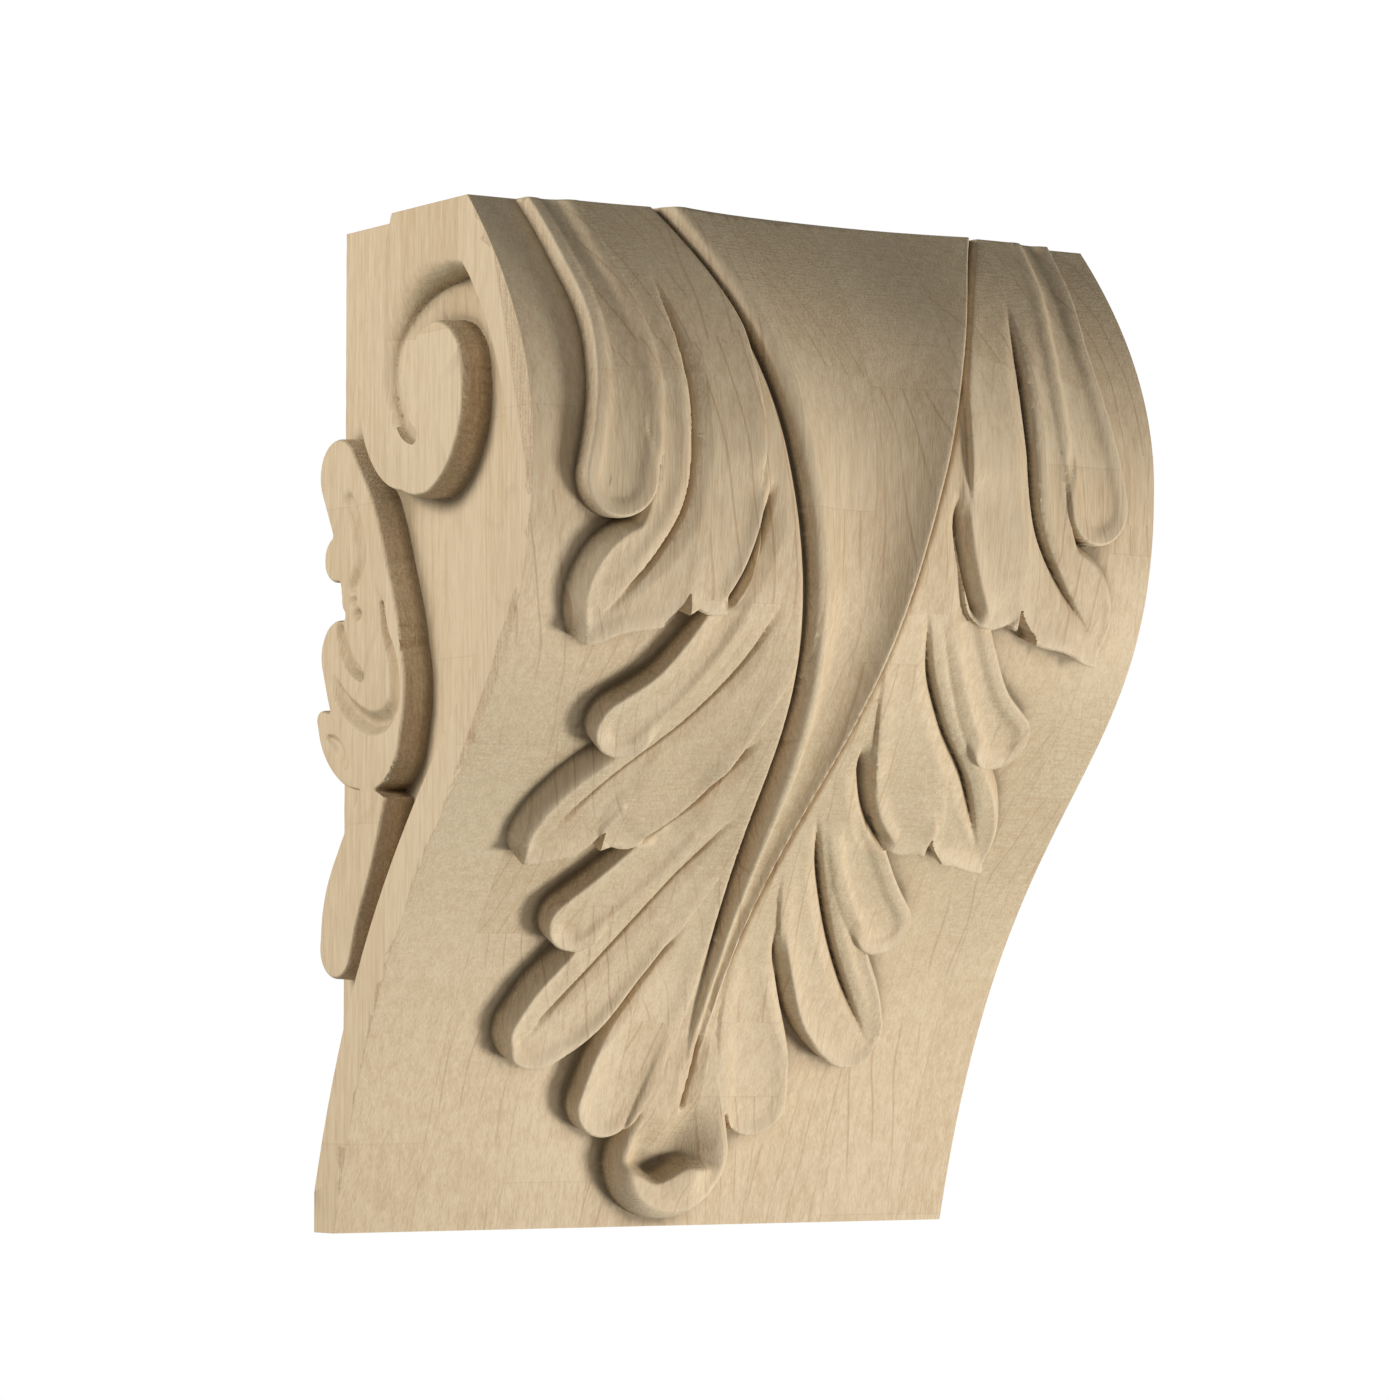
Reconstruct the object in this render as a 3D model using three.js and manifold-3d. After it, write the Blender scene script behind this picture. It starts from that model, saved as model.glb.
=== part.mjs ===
// Acanthus corbel: a glued-up block of pale maple with an S-shaped front, carved as one piece.
// Millimetres, +Z up, front towards -Y. The back lies on the wall plane Y = 0, and the origin is its centre.
import * as THREE from "three";
import { mergeVertices } from "three/addons/utils/BufferGeometryUtils.js";
import Module from "manifold-3d";

const wasm = await Module();
wasm.setup();

// Block
const WIDTH = 224;
const HEIGHT = 305;
const TOP_DEPTH = 89.5;
const BELLY_DEPTH = 126.5;
const FOOT_DEPTH = 12;

// Side fields, cut back behind a band that follows the front
const BAND_WIDTH = 15;
const FIELD_RECESS = 10;
const GROOVE_DEPTH = 2.5;

// Front carving, measured square to the front's surface
const LEAF_RELIEF = 8.5;
const STEM_RELIEF = 10.5;
const FLUTE_DEPTH = 5;
const TIP_RELIEF = 12;
const VEIN_DEPTH = 4;
const VEIN_WIDTH = 4;
const WEDGE_WIDTH = 6;
const LEAF_DISH = 1.2;
const BODY_DROP = 1.6;

// How far carved forms are rooted below the surface that they stand on, how far they run past the edges
// that they are trimmed to, and how far a cut reaches above what it cuts
const ROOT = 3;
const OVERRUN = 12;
const CLEARANCE = 4;

// The share of its full size that a V-shaped cut has at its ends, and the share of its width at its floor
const CUT_END = 0.06;
const CUT_FLOOR = 0.04;

// Corners nearer than this are one corner. Edges shorter than the second length are specks left by the
// cuts, and are closed up
const SAME_CORNER = 1e-4;
const SHORTEST_EDGE = 0.6;

// A round end is swept almost to its point, in this many rows of facets
const ROUND_END = THREE.MathUtils.degToRad(78);
const ROUND_ROWS = 4;

// The S-shaped front edge in the (depth, height) plane: a hollow foot, a full belly, and a short turn
// back to the top. The curves' handles are shares of the depth and the height.
const BELLY_LEVEL = 0.75 * HEIGHT;
const FOOT_HANDLE = { depth: 0.32, height: 0.47 };
const BELLY_HANDLES = { below: 0.44, above: 0.805 };
const TOP_HANDLE = { depth: 0.84, height: 0.89 };
const footEnd = new THREE.Vector2(FOOT_DEPTH, 0);
const bellyEnd = new THREE.Vector2(BELLY_DEPTH, BELLY_LEVEL);
const topEnd = new THREE.Vector2(TOP_DEPTH, HEIGHT);
const frontEdge = new THREE.CurvePath();
frontEdge.add(
  new THREE.CubicBezierCurve(
    footEnd,
    new THREE.Vector2(
      THREE.MathUtils.lerp(FOOT_DEPTH, BELLY_DEPTH, FOOT_HANDLE.depth),
      FOOT_HANDLE.height * HEIGHT,
    ),
    new THREE.Vector2(BELLY_DEPTH, BELLY_HANDLES.below * HEIGHT),
    bellyEnd,
  ),
);
frontEdge.add(
  new THREE.CubicBezierCurve(
    bellyEnd,
    new THREE.Vector2(BELLY_DEPTH, BELLY_HANDLES.above * HEIGHT),
    new THREE.Vector2(
      THREE.MathUtils.lerp(TOP_DEPTH, BELLY_DEPTH, TOP_HANDLE.depth),
      TOP_HANDLE.height * HEIGHT,
    ),
    topEnd,
  ),
);
frontEdge.arcLengthDivisions = 400;
const FRONT_LENGTH = frontEdge.getLength();
const FRONT_STEPS = 32;

// A point of the front edge and the direction of the edge there, for a length s from the foot.
// Past the top the edge runs on straight.
function edgeAt(s) {
  const step = 0.0005;
  const held = THREE.MathUtils.clamp(s / FRONT_LENGTH, step, 1 - step);
  const before = frontEdge.getPoint(held - step);
  const along = frontEdge.getPoint(held + step).sub(before).normalize();
  const point = frontEdge.getPoint(THREE.MathUtils.clamp(s / FRONT_LENGTH, 0, 1));
  return { point: point.addScaledVector(along, Math.max(s - FRONT_LENGTH, 0)), along };
}

// Two curved sheets carry the carving. Each turns (u, v, lift) into a place in the room.
// The front: u across, v up along the front edge, lift square to it.
function onFront(u, v, lift) {
  const { point, along } = edgeAt(v);
  const depth = point.x + along.y * lift;
  return new THREE.Vector3(u, -depth, point.y - along.x * lift - HEIGHT / 2);
}

// A side: u is the depth from the wall, v the height, lift the height above the cut-back field.
function onSide(u, v, lift) {
  return new THREE.Vector3(-(WIDTH / 2 - FIELD_RECESS + lift), -u, v - HEIGHT / 2);
}

// Turns a closed geometry into a solid. A geometry that a mapping has turned inside out is turned back.
function solid(geometry) {
  const bare = geometry.clone();
  bare.deleteAttribute("normal");
  bare.deleteAttribute("uv");
  const merged = mergeVertices(bare, SAME_CORNER);
  const corners = merged.attributes.position.array;
  const faces = new Uint32Array(merged.index.array);
  if (signedVolume(corners, faces) < 0) {
    for (let i = 0; i < faces.length; i += 3) {
      [faces[i], faces[i + 1]] = [faces[i + 1], faces[i]];
    }
  }
  return new wasm.Manifold(new wasm.Mesh({ numProp: 3, vertProperties: corners, triVerts: faces }));
}

function signedVolume(corners, faces) {
  const [a, b, c] = [new THREE.Vector3(), new THREE.Vector3(), new THREE.Vector3()];
  let sum = 0;
  for (let i = 0; i < faces.length; i += 3) {
    a.fromArray(corners, faces[i] * 3);
    b.fromArray(corners, faces[i + 1] * 3);
    c.fromArray(corners, faces[i + 2] * 3);
    sum += a.dot(b.cross(c));
  }
  return sum / 6;
}

// Moves every corner of a geometry to where a function of its own place says.
function bend(geometry, place) {
  const position = geometry.attributes.position;
  const corner = new THREE.Vector3();
  for (let i = 0; i < position.count; i++) {
    const moved = place(corner.fromBufferAttribute(position, i));
    position.setXYZ(i, moved.x, moved.y, moved.z);
  }
  return geometry;
}

// The spine of a carved form on its flat drawing: points (u, v, half width) from root to tip, with a
// round end past the last point that takes the last share of t. Gives the middle, the sideways direction
// and the half width at t, 0 to 1.
function spineOf(points, capShare = 0) {
  const curve = new THREE.CatmullRomCurve3(points.map((p) => new THREE.Vector3(...p)));
  return (t) => {
    const bodyT = Math.min(t / (1 - capShare), 1);
    const middle = curve.getPoint(bodyT);
    const ahead = curve.getTangent(bodyT);
    const along = new THREE.Vector2(ahead.x, ahead.y).normalize();
    const turn = t > 1 - capShare ? ((t - 1 + capShare) / capShare) * ROUND_END : 0;
    const reach = middle.z * Math.sin(turn);
    return {
      u: middle.x + along.x * reach,
      v: middle.y + along.y * reach,
      side: new THREE.Vector2(-along.y, along.x),
      half: middle.z * Math.cos(turn),
      end: Math.cos(turn),
    };
  };
}

// A raised form: a bar that follows a spine on a sheet, with a shallow hollow along its top.
function raised(sheet, points, { top, tip = top, dish = 0, across = 4, along = 10, round = true }) {
  const spine = spineOf(points, round ? ROUND_ROWS / along : 0);
  const bar = new THREE.BoxGeometry(1, 1, 1, across, 1, along);
  return solid(
    bend(bar, (p) => {
      const t = THREE.MathUtils.clamp(p.z + 0.5, 0, 1);
      const at = spine(t);
      const share = 2 * p.x;
      const crest = THREE.MathUtils.lerp(top, tip, t) - dish * (1 - share * share) * at.end;
      const lift = p.y > 0 ? crest : -ROOT;
      return sheet(at.u + at.side.x * at.half * share, at.v + at.side.y * at.half * share, lift);
    }),
  );
}

// A cut: a V-shaped bar along a spine, as wide and deep as said below a surface's lift, that reaches clear
// above it. The lean moves its mouth sideways, in half widths, so that one bank is steep and one a slope.
function groove(sheet, points, { surface, depth, width, lean = 0, along = 6 }) {
  const curve = new THREE.CatmullRomCurve3(points.map(([u, v]) => new THREE.Vector3(u, v, 0)));
  const bar = new THREE.BoxGeometry(1, 1, 1, 1, 1, along);
  return solid(
    bend(bar, (p) => {
      const t = THREE.MathUtils.clamp(p.z + 0.5, 0, 1);
      const swell = CUT_END + (1 - CUT_END) * Math.sin(Math.PI * t);
      const at = curve.getPoint(t);
      const heading = curve.getTangent(t);
      const floor = depth * swell;
      const half = (width / 2) * (p.y > 0 ? (CLEARANCE + floor) / depth : CUT_FLOOR * swell);
      const shift = half * (p.y > 0 ? 2 * p.x + lean : 2 * p.x);
      const lift = surface + (p.y > 0 ? CLEARANCE : -floor);
      return sheet(at.x - heading.y * shift, at.y + heading.x * shift, lift);
    }),
  );
}

// The leaf is drawn on a flat sheet of this size, and the drawing is stretched over the front.
const DRAWING = { width: 224, length: 348 };
const acrossScale = WIDTH / DRAWING.width;
const alongScale = FRONT_LENGTH / DRAWING.length;
const girthScale = Math.min(acrossScale, alongScale);

// Takes (x, s, half width) from the drawing to the front, on the left half (side -1) or the right (side 1).
function drawn(points, side) {
  return points.map(([x, s, half = 0]) => [side * x * acrossScale, s * alongScale, half * girthScale]);
}

// The half leaf's forms on the drawing, x measured outwards from the stem. Each spray has a small upper
// lobe, a large lobe with a vein, a small tip under it, and a wedge that parts it from the next spray.
const SPRAYS = [
  {
    upper: [[90, 362, 7.5], [85, 322, 8.5], [81.6, 300, 9.5], [81.6, 278, 11.3], [86, 252.5, 12]],
    large: [[60, 362, 15], [57, 320, 16], [54, 285, 18], [57, 250, 19], [69, 229, 17.5], [81, 222.5, 15.5],
      [87, 215, 12]],
    under: [[50, 262, 15], [48, 240, 13.5], [50, 227, 12]],
    vein: [[65, 318], [62, 294], [61, 270], [64.5, 244], [72.5, 231], [90, 212]],
    wedge: [[32, 253], [35.4, 237.4], [46, 219]],
    root: 7.5,
    largeTip: 8.5,
    upperRoot: 4.5,
    upperTip: 6,
  },
  {
    upper: [[38, 225, 8], [48, 205, 8.5], [58, 190, 9], [68, 179.5, 10]],
    large: [[20, 215, 9], [33, 188, 16], [50, 163, 19], [67, 148.5, 16.5], [75, 141, 12]],
    under: [[38, 172, 13], [45, 157, 13], [51, 146, 11.5]],
    vein: [[25, 223], [33, 203], [46, 183], [64, 162], [80, 135.5]],
    wedge: [[18, 178], [24, 164.5], [34, 147.6], [46, 136]],
    root: 6.6,
    largeTip: 8.3,
    upperRoot: 6,
    upperTip: 6,
  },
  {
    upper: [[26, 150, 8], [38, 130, 10], [48, 116, 10.5], [56, 107, 10]],
    large: [[14, 135, 8], [29, 106, 13], [42, 88, 16], [52, 75, 15.5], [57, 68, 13.5]],
    under: [],
    vein: [[12.6, 151.5], [24, 129.3], [38.6, 102], [64.3, 62.7]],
    wedge: [[16, 106], [25, 87], [35.4, 68], [45, 59]],
    root: 6.6,
    largeTip: 9,
    upperRoot: 6.5,
    upperTip: 7.5,
  },
];
const CUT_LEAN = 0.5;
const LAST_LOBE = [[12, 100, 7], [17, 77, 11], [23, 58, 13], [27, 43.5, 12]];
const LEAF_BODY = [[60, 362, 20], [50, 300, 20], [40, 260, 20], [32, 220, 18], [27, 180, 16], [20, 130, 13],
  [14, 90, 12], [9, 50, 12]];
const CURLED_TIP = [[0, 78, 9], [0, 50, 16], [0, 25, 21.5]];
const CUP = { s: 25, radius: 10.5, across: 1.2, squash: 0.65, rise: 2 };
const STEM = { foot: 30, footHalf: 2.8, topHalf: 60, flare: 2.7, lean: 6.8, leanFlare: 6 };

// One spray of the leaf on one half of the front.
function spray(form, side) {
  const dished = { dish: LEAF_DISH };
  const forms = [
    raised(onFront, drawn(form.large, side), { ...dished, top: form.root, tip: form.largeTip, along: 12 }),
    raised(onFront, drawn(form.upper, side), { ...dished, top: form.upperRoot, tip: form.upperTip }),
  ];
  if (form.under.length) {
    const heights = { top: LEAF_RELIEF - BODY_DROP, tip: LEAF_RELIEF };
    forms.push(raised(onFront, drawn(form.under, side), { ...dished, ...heights, along: 8 }));
  }
  return forms;
}

function sprayCuts(form, side) {
  const surface = LEAF_RELIEF - LEAF_DISH;
  const lean = side * CUT_LEAN;
  const cut = (points, width) =>
    groove(onFront, drawn(points, side), { surface, depth: VEIN_DEPTH, width: width * girthScale, lean });
  return [cut(form.vein, VEIN_WIDTH), cut(form.wedge, WEDGE_WIDTH)];
}

// The stem: a fluted face between two rims, wide at the top and drawn out to a point above the curled tip.
function stem() {
  const rows = 8;
  const points = [];
  for (let i = 0; i <= rows; i++) {
    const share = 1 - i / rows;
    const s = STEM.foot + share * (DRAWING.length + OVERRUN - STEM.foot);
    const half = STEM.footHalf + (STEM.topHalf - STEM.footHalf) * share ** STEM.flare;
    points.push([STEM.lean * share ** STEM.leanFlare, s, half]);
  }
  const heights = { top: STEM_RELIEF, tip: LEAF_RELIEF - LEAF_DISH, dish: FLUTE_DEPTH };
  return raised(onFront, drawn(points, 1), { ...heights, across: 6, along: 18, round: false });
}

// The leaf's curled tip: a cupped end with a hollow behind its lip.
function curledTip() {
  const heights = { top: LEAF_RELIEF - VEIN_DEPTH, tip: TIP_RELIEF };
  const tip = raised(onFront, drawn(CURLED_TIP, 1), { ...heights, along: 14 });
  const cup = new THREE.SphereGeometry(CUP.radius * girthScale, 14, 8);
  cup.scale(CUP.across, 1, CUP.squash);
  const middle = onFront(0, CUP.s * alongScale, TIP_RELIEF + CUP.rise);
  cup.translate(middle.x, middle.y, middle.z);
  return tip.subtract(solid(cup));
}

function joined(solids) {
  return solids.reduce((sum, next) => sum.add(next));
}

// The front leaf: both halves, then the veins and wedges, then the stem and the curled tip over them.
function frontLeaf() {
  const halves = [-1, 1].map((side) => {
    const forms = SPRAYS.flatMap((form) => spray(form, side));
    const top = LEAF_RELIEF - BODY_DROP;
    forms.push(raised(onFront, drawn(LEAF_BODY, side), { top, across: 2, along: 16 }));
    forms.push(raised(onFront, drawn(LAST_LOBE, side), { top, tip: LEAF_RELIEF, dish: LEAF_DISH }));
    const cuts = SPRAYS.flatMap((form) => sprayCuts(form, side));
    return joined(forms).subtract(joined(cuts));
  });
  return joined([...halves, stem(), curledTip()]);
}

// The block: the S-shaped outline run across the full width.
function block() {
  const outline = new THREE.Shape();
  outline.moveTo(0, 0);
  for (let i = 0; i <= FRONT_STEPS; i++) {
    const point = frontEdge.getPoint(i / FRONT_STEPS);
    outline.lineTo(point.x, point.y);
  }
  outline.lineTo(0, HEIGHT);
  const run = new THREE.ExtrudeGeometry(outline, { depth: WIDTH, bevelEnabled: false });
  return solid(bend(run, (p) => new THREE.Vector3(p.z - WIDTH / 2, -p.x, p.y - HEIGHT / 2)));
}

// A plate on the left side: a flat outline in the (depth, height) plane between two lifts.
function sidePlate(outline, low, high) {
  const run = new THREE.ExtrudeGeometry(outline, { depth: high - low, bevelEnabled: false });
  return solid(bend(run, (p) => onSide(p.x, p.y, low + p.z)));
}

// The scroll: a spiral about its eye that comes in from the top edge, in shares of the height.
const EYE = { u: 0.197 * HEIGHT, v: 0.807 * HEIGHT };
const EYE_RADIUS = 0.09 * HEIGHT;
const SCROLL_START = THREE.MathUtils.degToRad(101);
const SCROLL_END = THREE.MathUtils.degToRad(300);
const SCROLL_CLOSE = THREE.MathUtils.degToRad(405);
const SCROLL_REACH = 0.1 * HEIGHT;
const SCROLL_FLARE = 2.6;
const SCROLL_STEPS = 28;
const BAND_STEPS = 26;
const BAND_END = 0.9;

// The scroll's channel, in shares of the eye's radius: it closes in from outside the eye to inside it
const CHANNEL = {
  from: THREE.MathUtils.degToRad(30),
  to: THREE.MathUtils.degToRad(270),
  inner: 0.45,
  opening: 0.92,
  half: 0.16,
  flare: 0.1,
  rows: 9,
  facets: 18,
};

function scrollPoint(angle) {
  const left = THREE.MathUtils.clamp((SCROLL_END - angle) / (SCROLL_END - SCROLL_START), 0, 1);
  const radius = EYE_RADIUS + SCROLL_REACH * left ** SCROLL_FLARE;
  return new THREE.Vector2(EYE.u + radius * Math.cos(angle), EYE.v + radius * Math.sin(angle));
}

// What stands at full width on a side: the band along the front edge, and the scroll that ends it.
function bandAndScroll() {
  const outline = new THREE.Shape();
  outline.moveTo(-OVERRUN, 0);
  for (let i = 0; i <= BAND_STEPS; i++) {
    const { point, along } = edgeAt((i / BAND_STEPS) * BAND_END * FRONT_LENGTH);
    outline.lineTo(point.x - along.y * BAND_WIDTH, point.y + along.x * BAND_WIDTH);
  }
  for (let i = SCROLL_STEPS; i >= 0; i--) {
    const point = scrollPoint(SCROLL_START + (i / SCROLL_STEPS) * (SCROLL_CLOSE - SCROLL_START));
    outline.lineTo(point.x, point.y);
  }
  outline.lineTo(EYE.u - 0.1 * EYE_RADIUS, HEIGHT + OVERRUN);
  outline.lineTo(BELLY_DEPTH + OVERRUN, HEIGHT + OVERRUN);
  outline.lineTo(BELLY_DEPTH + OVERRUN, -OVERRUN);
  outline.lineTo(-OVERRUN, -OVERRUN);
  return sidePlate(outline, -ROOT, FIELD_RECESS);
}

// The scroll's channel: it leaves the field beside the eye, climbs over it and dies out under its centre.
function scrollChannel() {
  const points = [];
  for (let i = 0; i <= CHANNEL.rows; i++) {
    const share = i / CHANNEL.rows;
    const angle = CHANNEL.from + share * (CHANNEL.to - CHANNEL.from);
    const radius = EYE_RADIUS * (CHANNEL.inner + CHANNEL.opening * (1 - share) ** 2);
    const half = EYE_RADIUS * (CHANNEL.half + CHANNEL.flare * (1 - share));
    points.push([EYE.u + radius * Math.cos(angle), EYE.v + radius * Math.sin(angle), half]);
  }
  const floor = (t) => (FIELD_RECESS - GROOVE_DEPTH) * (1 - (1 - t) ** 3);
  const spine = spineOf(points, ROUND_ROWS / CHANNEL.facets);
  const bar = new THREE.BoxGeometry(1, 1, 1, 2, 1, CHANNEL.facets);
  return solid(
    bend(bar, (p) => {
      const t = THREE.MathUtils.clamp(p.z + 0.5, 0, 1);
      const at = spine(t);
      const lift = p.y > 0 ? FIELD_RECESS + ROOT : floor(t);
      return onSide(at.u + at.side.x * at.half * 2 * p.x, at.v + at.side.y * at.half * 2 * p.x, lift);
    }),
  );
}

// The two side leaves, drawn as (depth, height, half width) in a 305 high outline.
const SIDE_DRAWING = 305;
const SIDE_LEAVES = [
  [[33, 158, 18], [33, 174, 18], [29.5, 193, 15], [23, 212, 13.5], [12.5, 229, 11.5]],
  [[34, 176, 16], [34, 163, 19.5], [32, 151, 19]],
  [[26, 206, 8], [18, 204, 8], [11.5, 203.5, 7.5]],
  [[30, 152, 14], [21, 160, 13], [13.5, 174, 11.5]],
  [[32, 149, 17], [20, 146, 12], [9, 150, 7.5], [3, 155, 3.5]],
  [[36, 133, 7], [24, 113, 10.5], [14.5, 96, 11], [12, 86, 10]],
];
const SIDE_GROOVE_WIDTH = 7;
const SIDE_GROOVES = [
  [[42, 181], [46, 165], [41, 154], [31, 152], [20, 158], [11, 171]],
  [[13, 184], [16, 174], [28, 168]],
];

function sideLeaves() {
  const scale = HEIGHT / SIDE_DRAWING;
  const leaves = SIDE_LEAVES.map((points) => {
    const placed = points.map(([u, v, half]) => [u * scale, v * scale, half * scale]);
    return raised(onSide, placed, { top: FIELD_RECESS, across: 2, along: 10 });
  });
  const cuts = SIDE_GROOVES.map((points) => {
    const placed = points.map(([u, v]) => [u * scale, v * scale]);
    const width = SIDE_GROOVE_WIDTH * scale;
    return groove(onSide, placed, { surface: FIELD_RECESS, depth: GROOVE_DEPTH, width });
  });
  return joined(leaves).subtract(joined(cuts));
}

// Everything outside the field on the left side, as it stands at full width.
function leftSide() {
  return bandAndScroll().subtract(scrollChannel()).add(sideLeaves());
}

// The space between two planes square to X, Y or Z that a form is trimmed to.
function slab(size, middle) {
  const box = new THREE.BoxGeometry(size.x, size.y, size.z);
  box.translate(middle.x, middle.y, middle.z);
  return solid(box);
}

// A geometry of a mesh's corners, with the given faces as a flat list of corner numbers.
function geometryOf(mesh, faces) {
  const geometry = new THREE.BufferGeometry();
  geometry.setAttribute("position", new THREE.BufferAttribute(mesh.vertProperties, 3));
  geometry.setIndex(faces);
  return geometry;
}

// A solid's mirror image in the plane X = 0.
function mirrored(form) {
  const mesh = form.getMesh();
  return solid(geometryOf(mesh, [...mesh.triVerts]).scale(-1, 1, 1));
}

// The corbel: the block with its side fields cut back and carved, and the leaf laid over the front,
// all trimmed flat at the top, the underside and the wall.
function carvedCorbel() {
  const whole = block();
  const core = slab(
    new THREE.Vector3(WIDTH - 2 * FIELD_RECESS, 4 * BELLY_DEPTH, 2 * HEIGHT),
    new THREE.Vector3(0, 0, 0),
  );
  const side = leftSide();
  const body = joined([core, side, mirrored(side)]).intersect(whole);
  const trim = slab(
    new THREE.Vector3(WIDTH, 2 * BELLY_DEPTH, HEIGHT),
    new THREE.Vector3(0, -BELLY_DEPTH, 0),
  );
  return body.add(frontLeaf()).intersect(trim);
}

// How many of the flat cut faces a corner lies on, so that tidying never pulls one of them out of flat.
function flatsAt(p) {
  const gaps = [Math.abs(p.x) - WIDTH / 2, Math.abs(p.z) - HEIGHT / 2, p.y];
  return gaps.filter((gap) => Math.abs(gap) < 1e-3).length;
}

// The faces of a solid with the specks that its cuts leave taken out: an edge shorter than the given
// length is closed up, unless that would pinch the surface or fold it over.
function tidied(form, shortest) {
  const mesh = form.getMesh();
  const points = [];
  for (let i = 0; i < mesh.numVert; i++) {
    points.push(new THREE.Vector3().fromArray(mesh.vertProperties, i * 3));
  }
  const faces = [];
  const around = points.map(() => new Set());
  for (let i = 0; i < mesh.triVerts.length; i += 3) {
    const corners = [...mesh.triVerts.subarray(i, i + 3)];
    corners.forEach((corner) => around[corner].add(faces.length));
    faces.push(corners);
  }
  const beside = (corner) => new Set([...around[corner]].flatMap((f) => faces[f]));
  const normal = (corners) => {
    const [a, b, c] = corners.map((corner) => points[corner]);
    return b.clone().sub(a).cross(c.clone().sub(a));
  };
  const closes = (gone, kept) => {
    const nearKept = beside(kept);
    const shared = [...beside(gone)].filter((corner) => nearKept.has(corner));
    if (shared.length !== 4) return false;
    return [...around[gone]].every((f) => {
      if (faces[f].includes(kept)) return true;
      const before = normal(faces[f]);
      const after = normal(faces[f].map((corner) => (corner === gone ? kept : corner)));
      return after.dot(before) > 0.5 * after.length() * before.length() || before.length() < 1e-3;
    });
  };
  const close = (gone, kept) => {
    for (const f of [...around[gone]]) {
      if (faces[f].includes(kept)) {
        faces[f].forEach((corner) => around[corner].delete(f));
        faces[f] = [];
      } else {
        faces[f] = faces[f].map((corner) => (corner === gone ? kept : corner));
        around[kept].add(f);
      }
    }
    around[gone].clear();
  };
  for (let f = 0; f < faces.length; f++) {
    for (let side = 0; side < faces[f].length; side++) {
      const a = faces[f][side];
      const b = faces[f][(side + 1) % 3];
      if (points[a].distanceTo(points[b]) >= shortest) continue;
      const [gone, kept] = flatsAt(points[a]) > flatsAt(points[b]) ? [b, a] : [a, b];
      if (!closes(gone, kept)) continue;
      close(gone, kept);
      break;
    }
  }
  return geometryOf(mesh, faces.flat());
}

function meshOf(form, name, material) {
  const geometry = tidied(form, SHORTEST_EDGE);
  geometry.computeVertexNormals();
  const made = new THREE.Mesh(geometry, material);
  made.name = name;
  return made;
}

const maple = new THREE.MeshStandardMaterial({ color: 0xd9c09a, roughness: 0.62, metalness: 0 });

const corbel = new THREE.Group();
corbel.add(meshOf(carvedCorbel(), "corbel", maple));

export default corbel;
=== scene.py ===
"""Carved maple corbel: an S-shaped bracket with an acanthus leaf on its front and scrolls on its sides.

The sizes of the carving and the finish are in millimetres. The mesh and the studio are in metres, in the
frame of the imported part: X to the right, -Y out of the wall, Z up, origin at the middle of the back face.
"""

import logging
import math
from collections.abc import Callable, Sequence
from dataclasses import dataclass
from enum import Enum

import bmesh
import bpy
import numpy as np
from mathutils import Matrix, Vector


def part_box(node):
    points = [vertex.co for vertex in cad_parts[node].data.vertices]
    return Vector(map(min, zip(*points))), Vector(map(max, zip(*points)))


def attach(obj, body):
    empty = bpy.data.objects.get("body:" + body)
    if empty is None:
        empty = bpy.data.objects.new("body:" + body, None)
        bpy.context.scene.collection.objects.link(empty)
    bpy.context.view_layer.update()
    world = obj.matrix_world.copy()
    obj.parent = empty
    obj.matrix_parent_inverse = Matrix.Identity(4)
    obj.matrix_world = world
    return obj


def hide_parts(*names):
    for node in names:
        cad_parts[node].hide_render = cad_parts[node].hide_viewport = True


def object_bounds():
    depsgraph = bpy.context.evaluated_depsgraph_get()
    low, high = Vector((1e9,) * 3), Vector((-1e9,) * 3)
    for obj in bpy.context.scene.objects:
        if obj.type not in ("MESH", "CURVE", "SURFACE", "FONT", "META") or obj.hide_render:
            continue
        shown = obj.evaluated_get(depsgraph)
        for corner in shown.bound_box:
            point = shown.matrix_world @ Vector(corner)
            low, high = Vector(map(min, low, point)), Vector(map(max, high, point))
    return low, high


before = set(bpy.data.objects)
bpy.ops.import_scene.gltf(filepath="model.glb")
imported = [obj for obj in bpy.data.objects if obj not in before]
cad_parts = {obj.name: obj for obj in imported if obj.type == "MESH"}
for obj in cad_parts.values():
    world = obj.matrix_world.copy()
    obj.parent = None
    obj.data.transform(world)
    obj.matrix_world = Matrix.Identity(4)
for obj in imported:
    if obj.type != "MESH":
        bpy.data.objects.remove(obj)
CAD_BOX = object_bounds()

LOG = logging.getLogger("corbel")
MM = 0.001
FAR = 1e9
CLOSE = 1e-6
TINY = 1e-9

Grid = np.ndarray
Range = tuple[float, float]
Triple = tuple[float, float, float]
Points = Sequence[tuple[float, ...]]
Colour = tuple[float, float, float, float]


def smooth(low: float, high: float, value: Grid) -> Grid:
    """A smooth step: 0 where the value is below low, 1 above high, and a soft rise between them."""
    share = np.clip((value - low) / (high - low), 0.0, 1.0)
    return share * share * (3.0 - 2.0 * share)


def rounded_wall(inside: Grid, width: float | Grid, power: float = 3.0) -> Grid:
    """How much of its height a carved wall with a rounded arris has reached; more power is steeper."""
    left = 1.0 - np.clip(inside / width, 0.0, 1.0)
    return (1.0 - left**power) ** (1.0 / power)


def hump(value: Grid, middle: float, reach: float, power: int = 2) -> Grid:
    """A soft hump of height 1 about a middle; a higher power makes it flatter and its sides steeper."""
    return np.exp(-(np.abs((value - middle) / reach) ** power))


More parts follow.
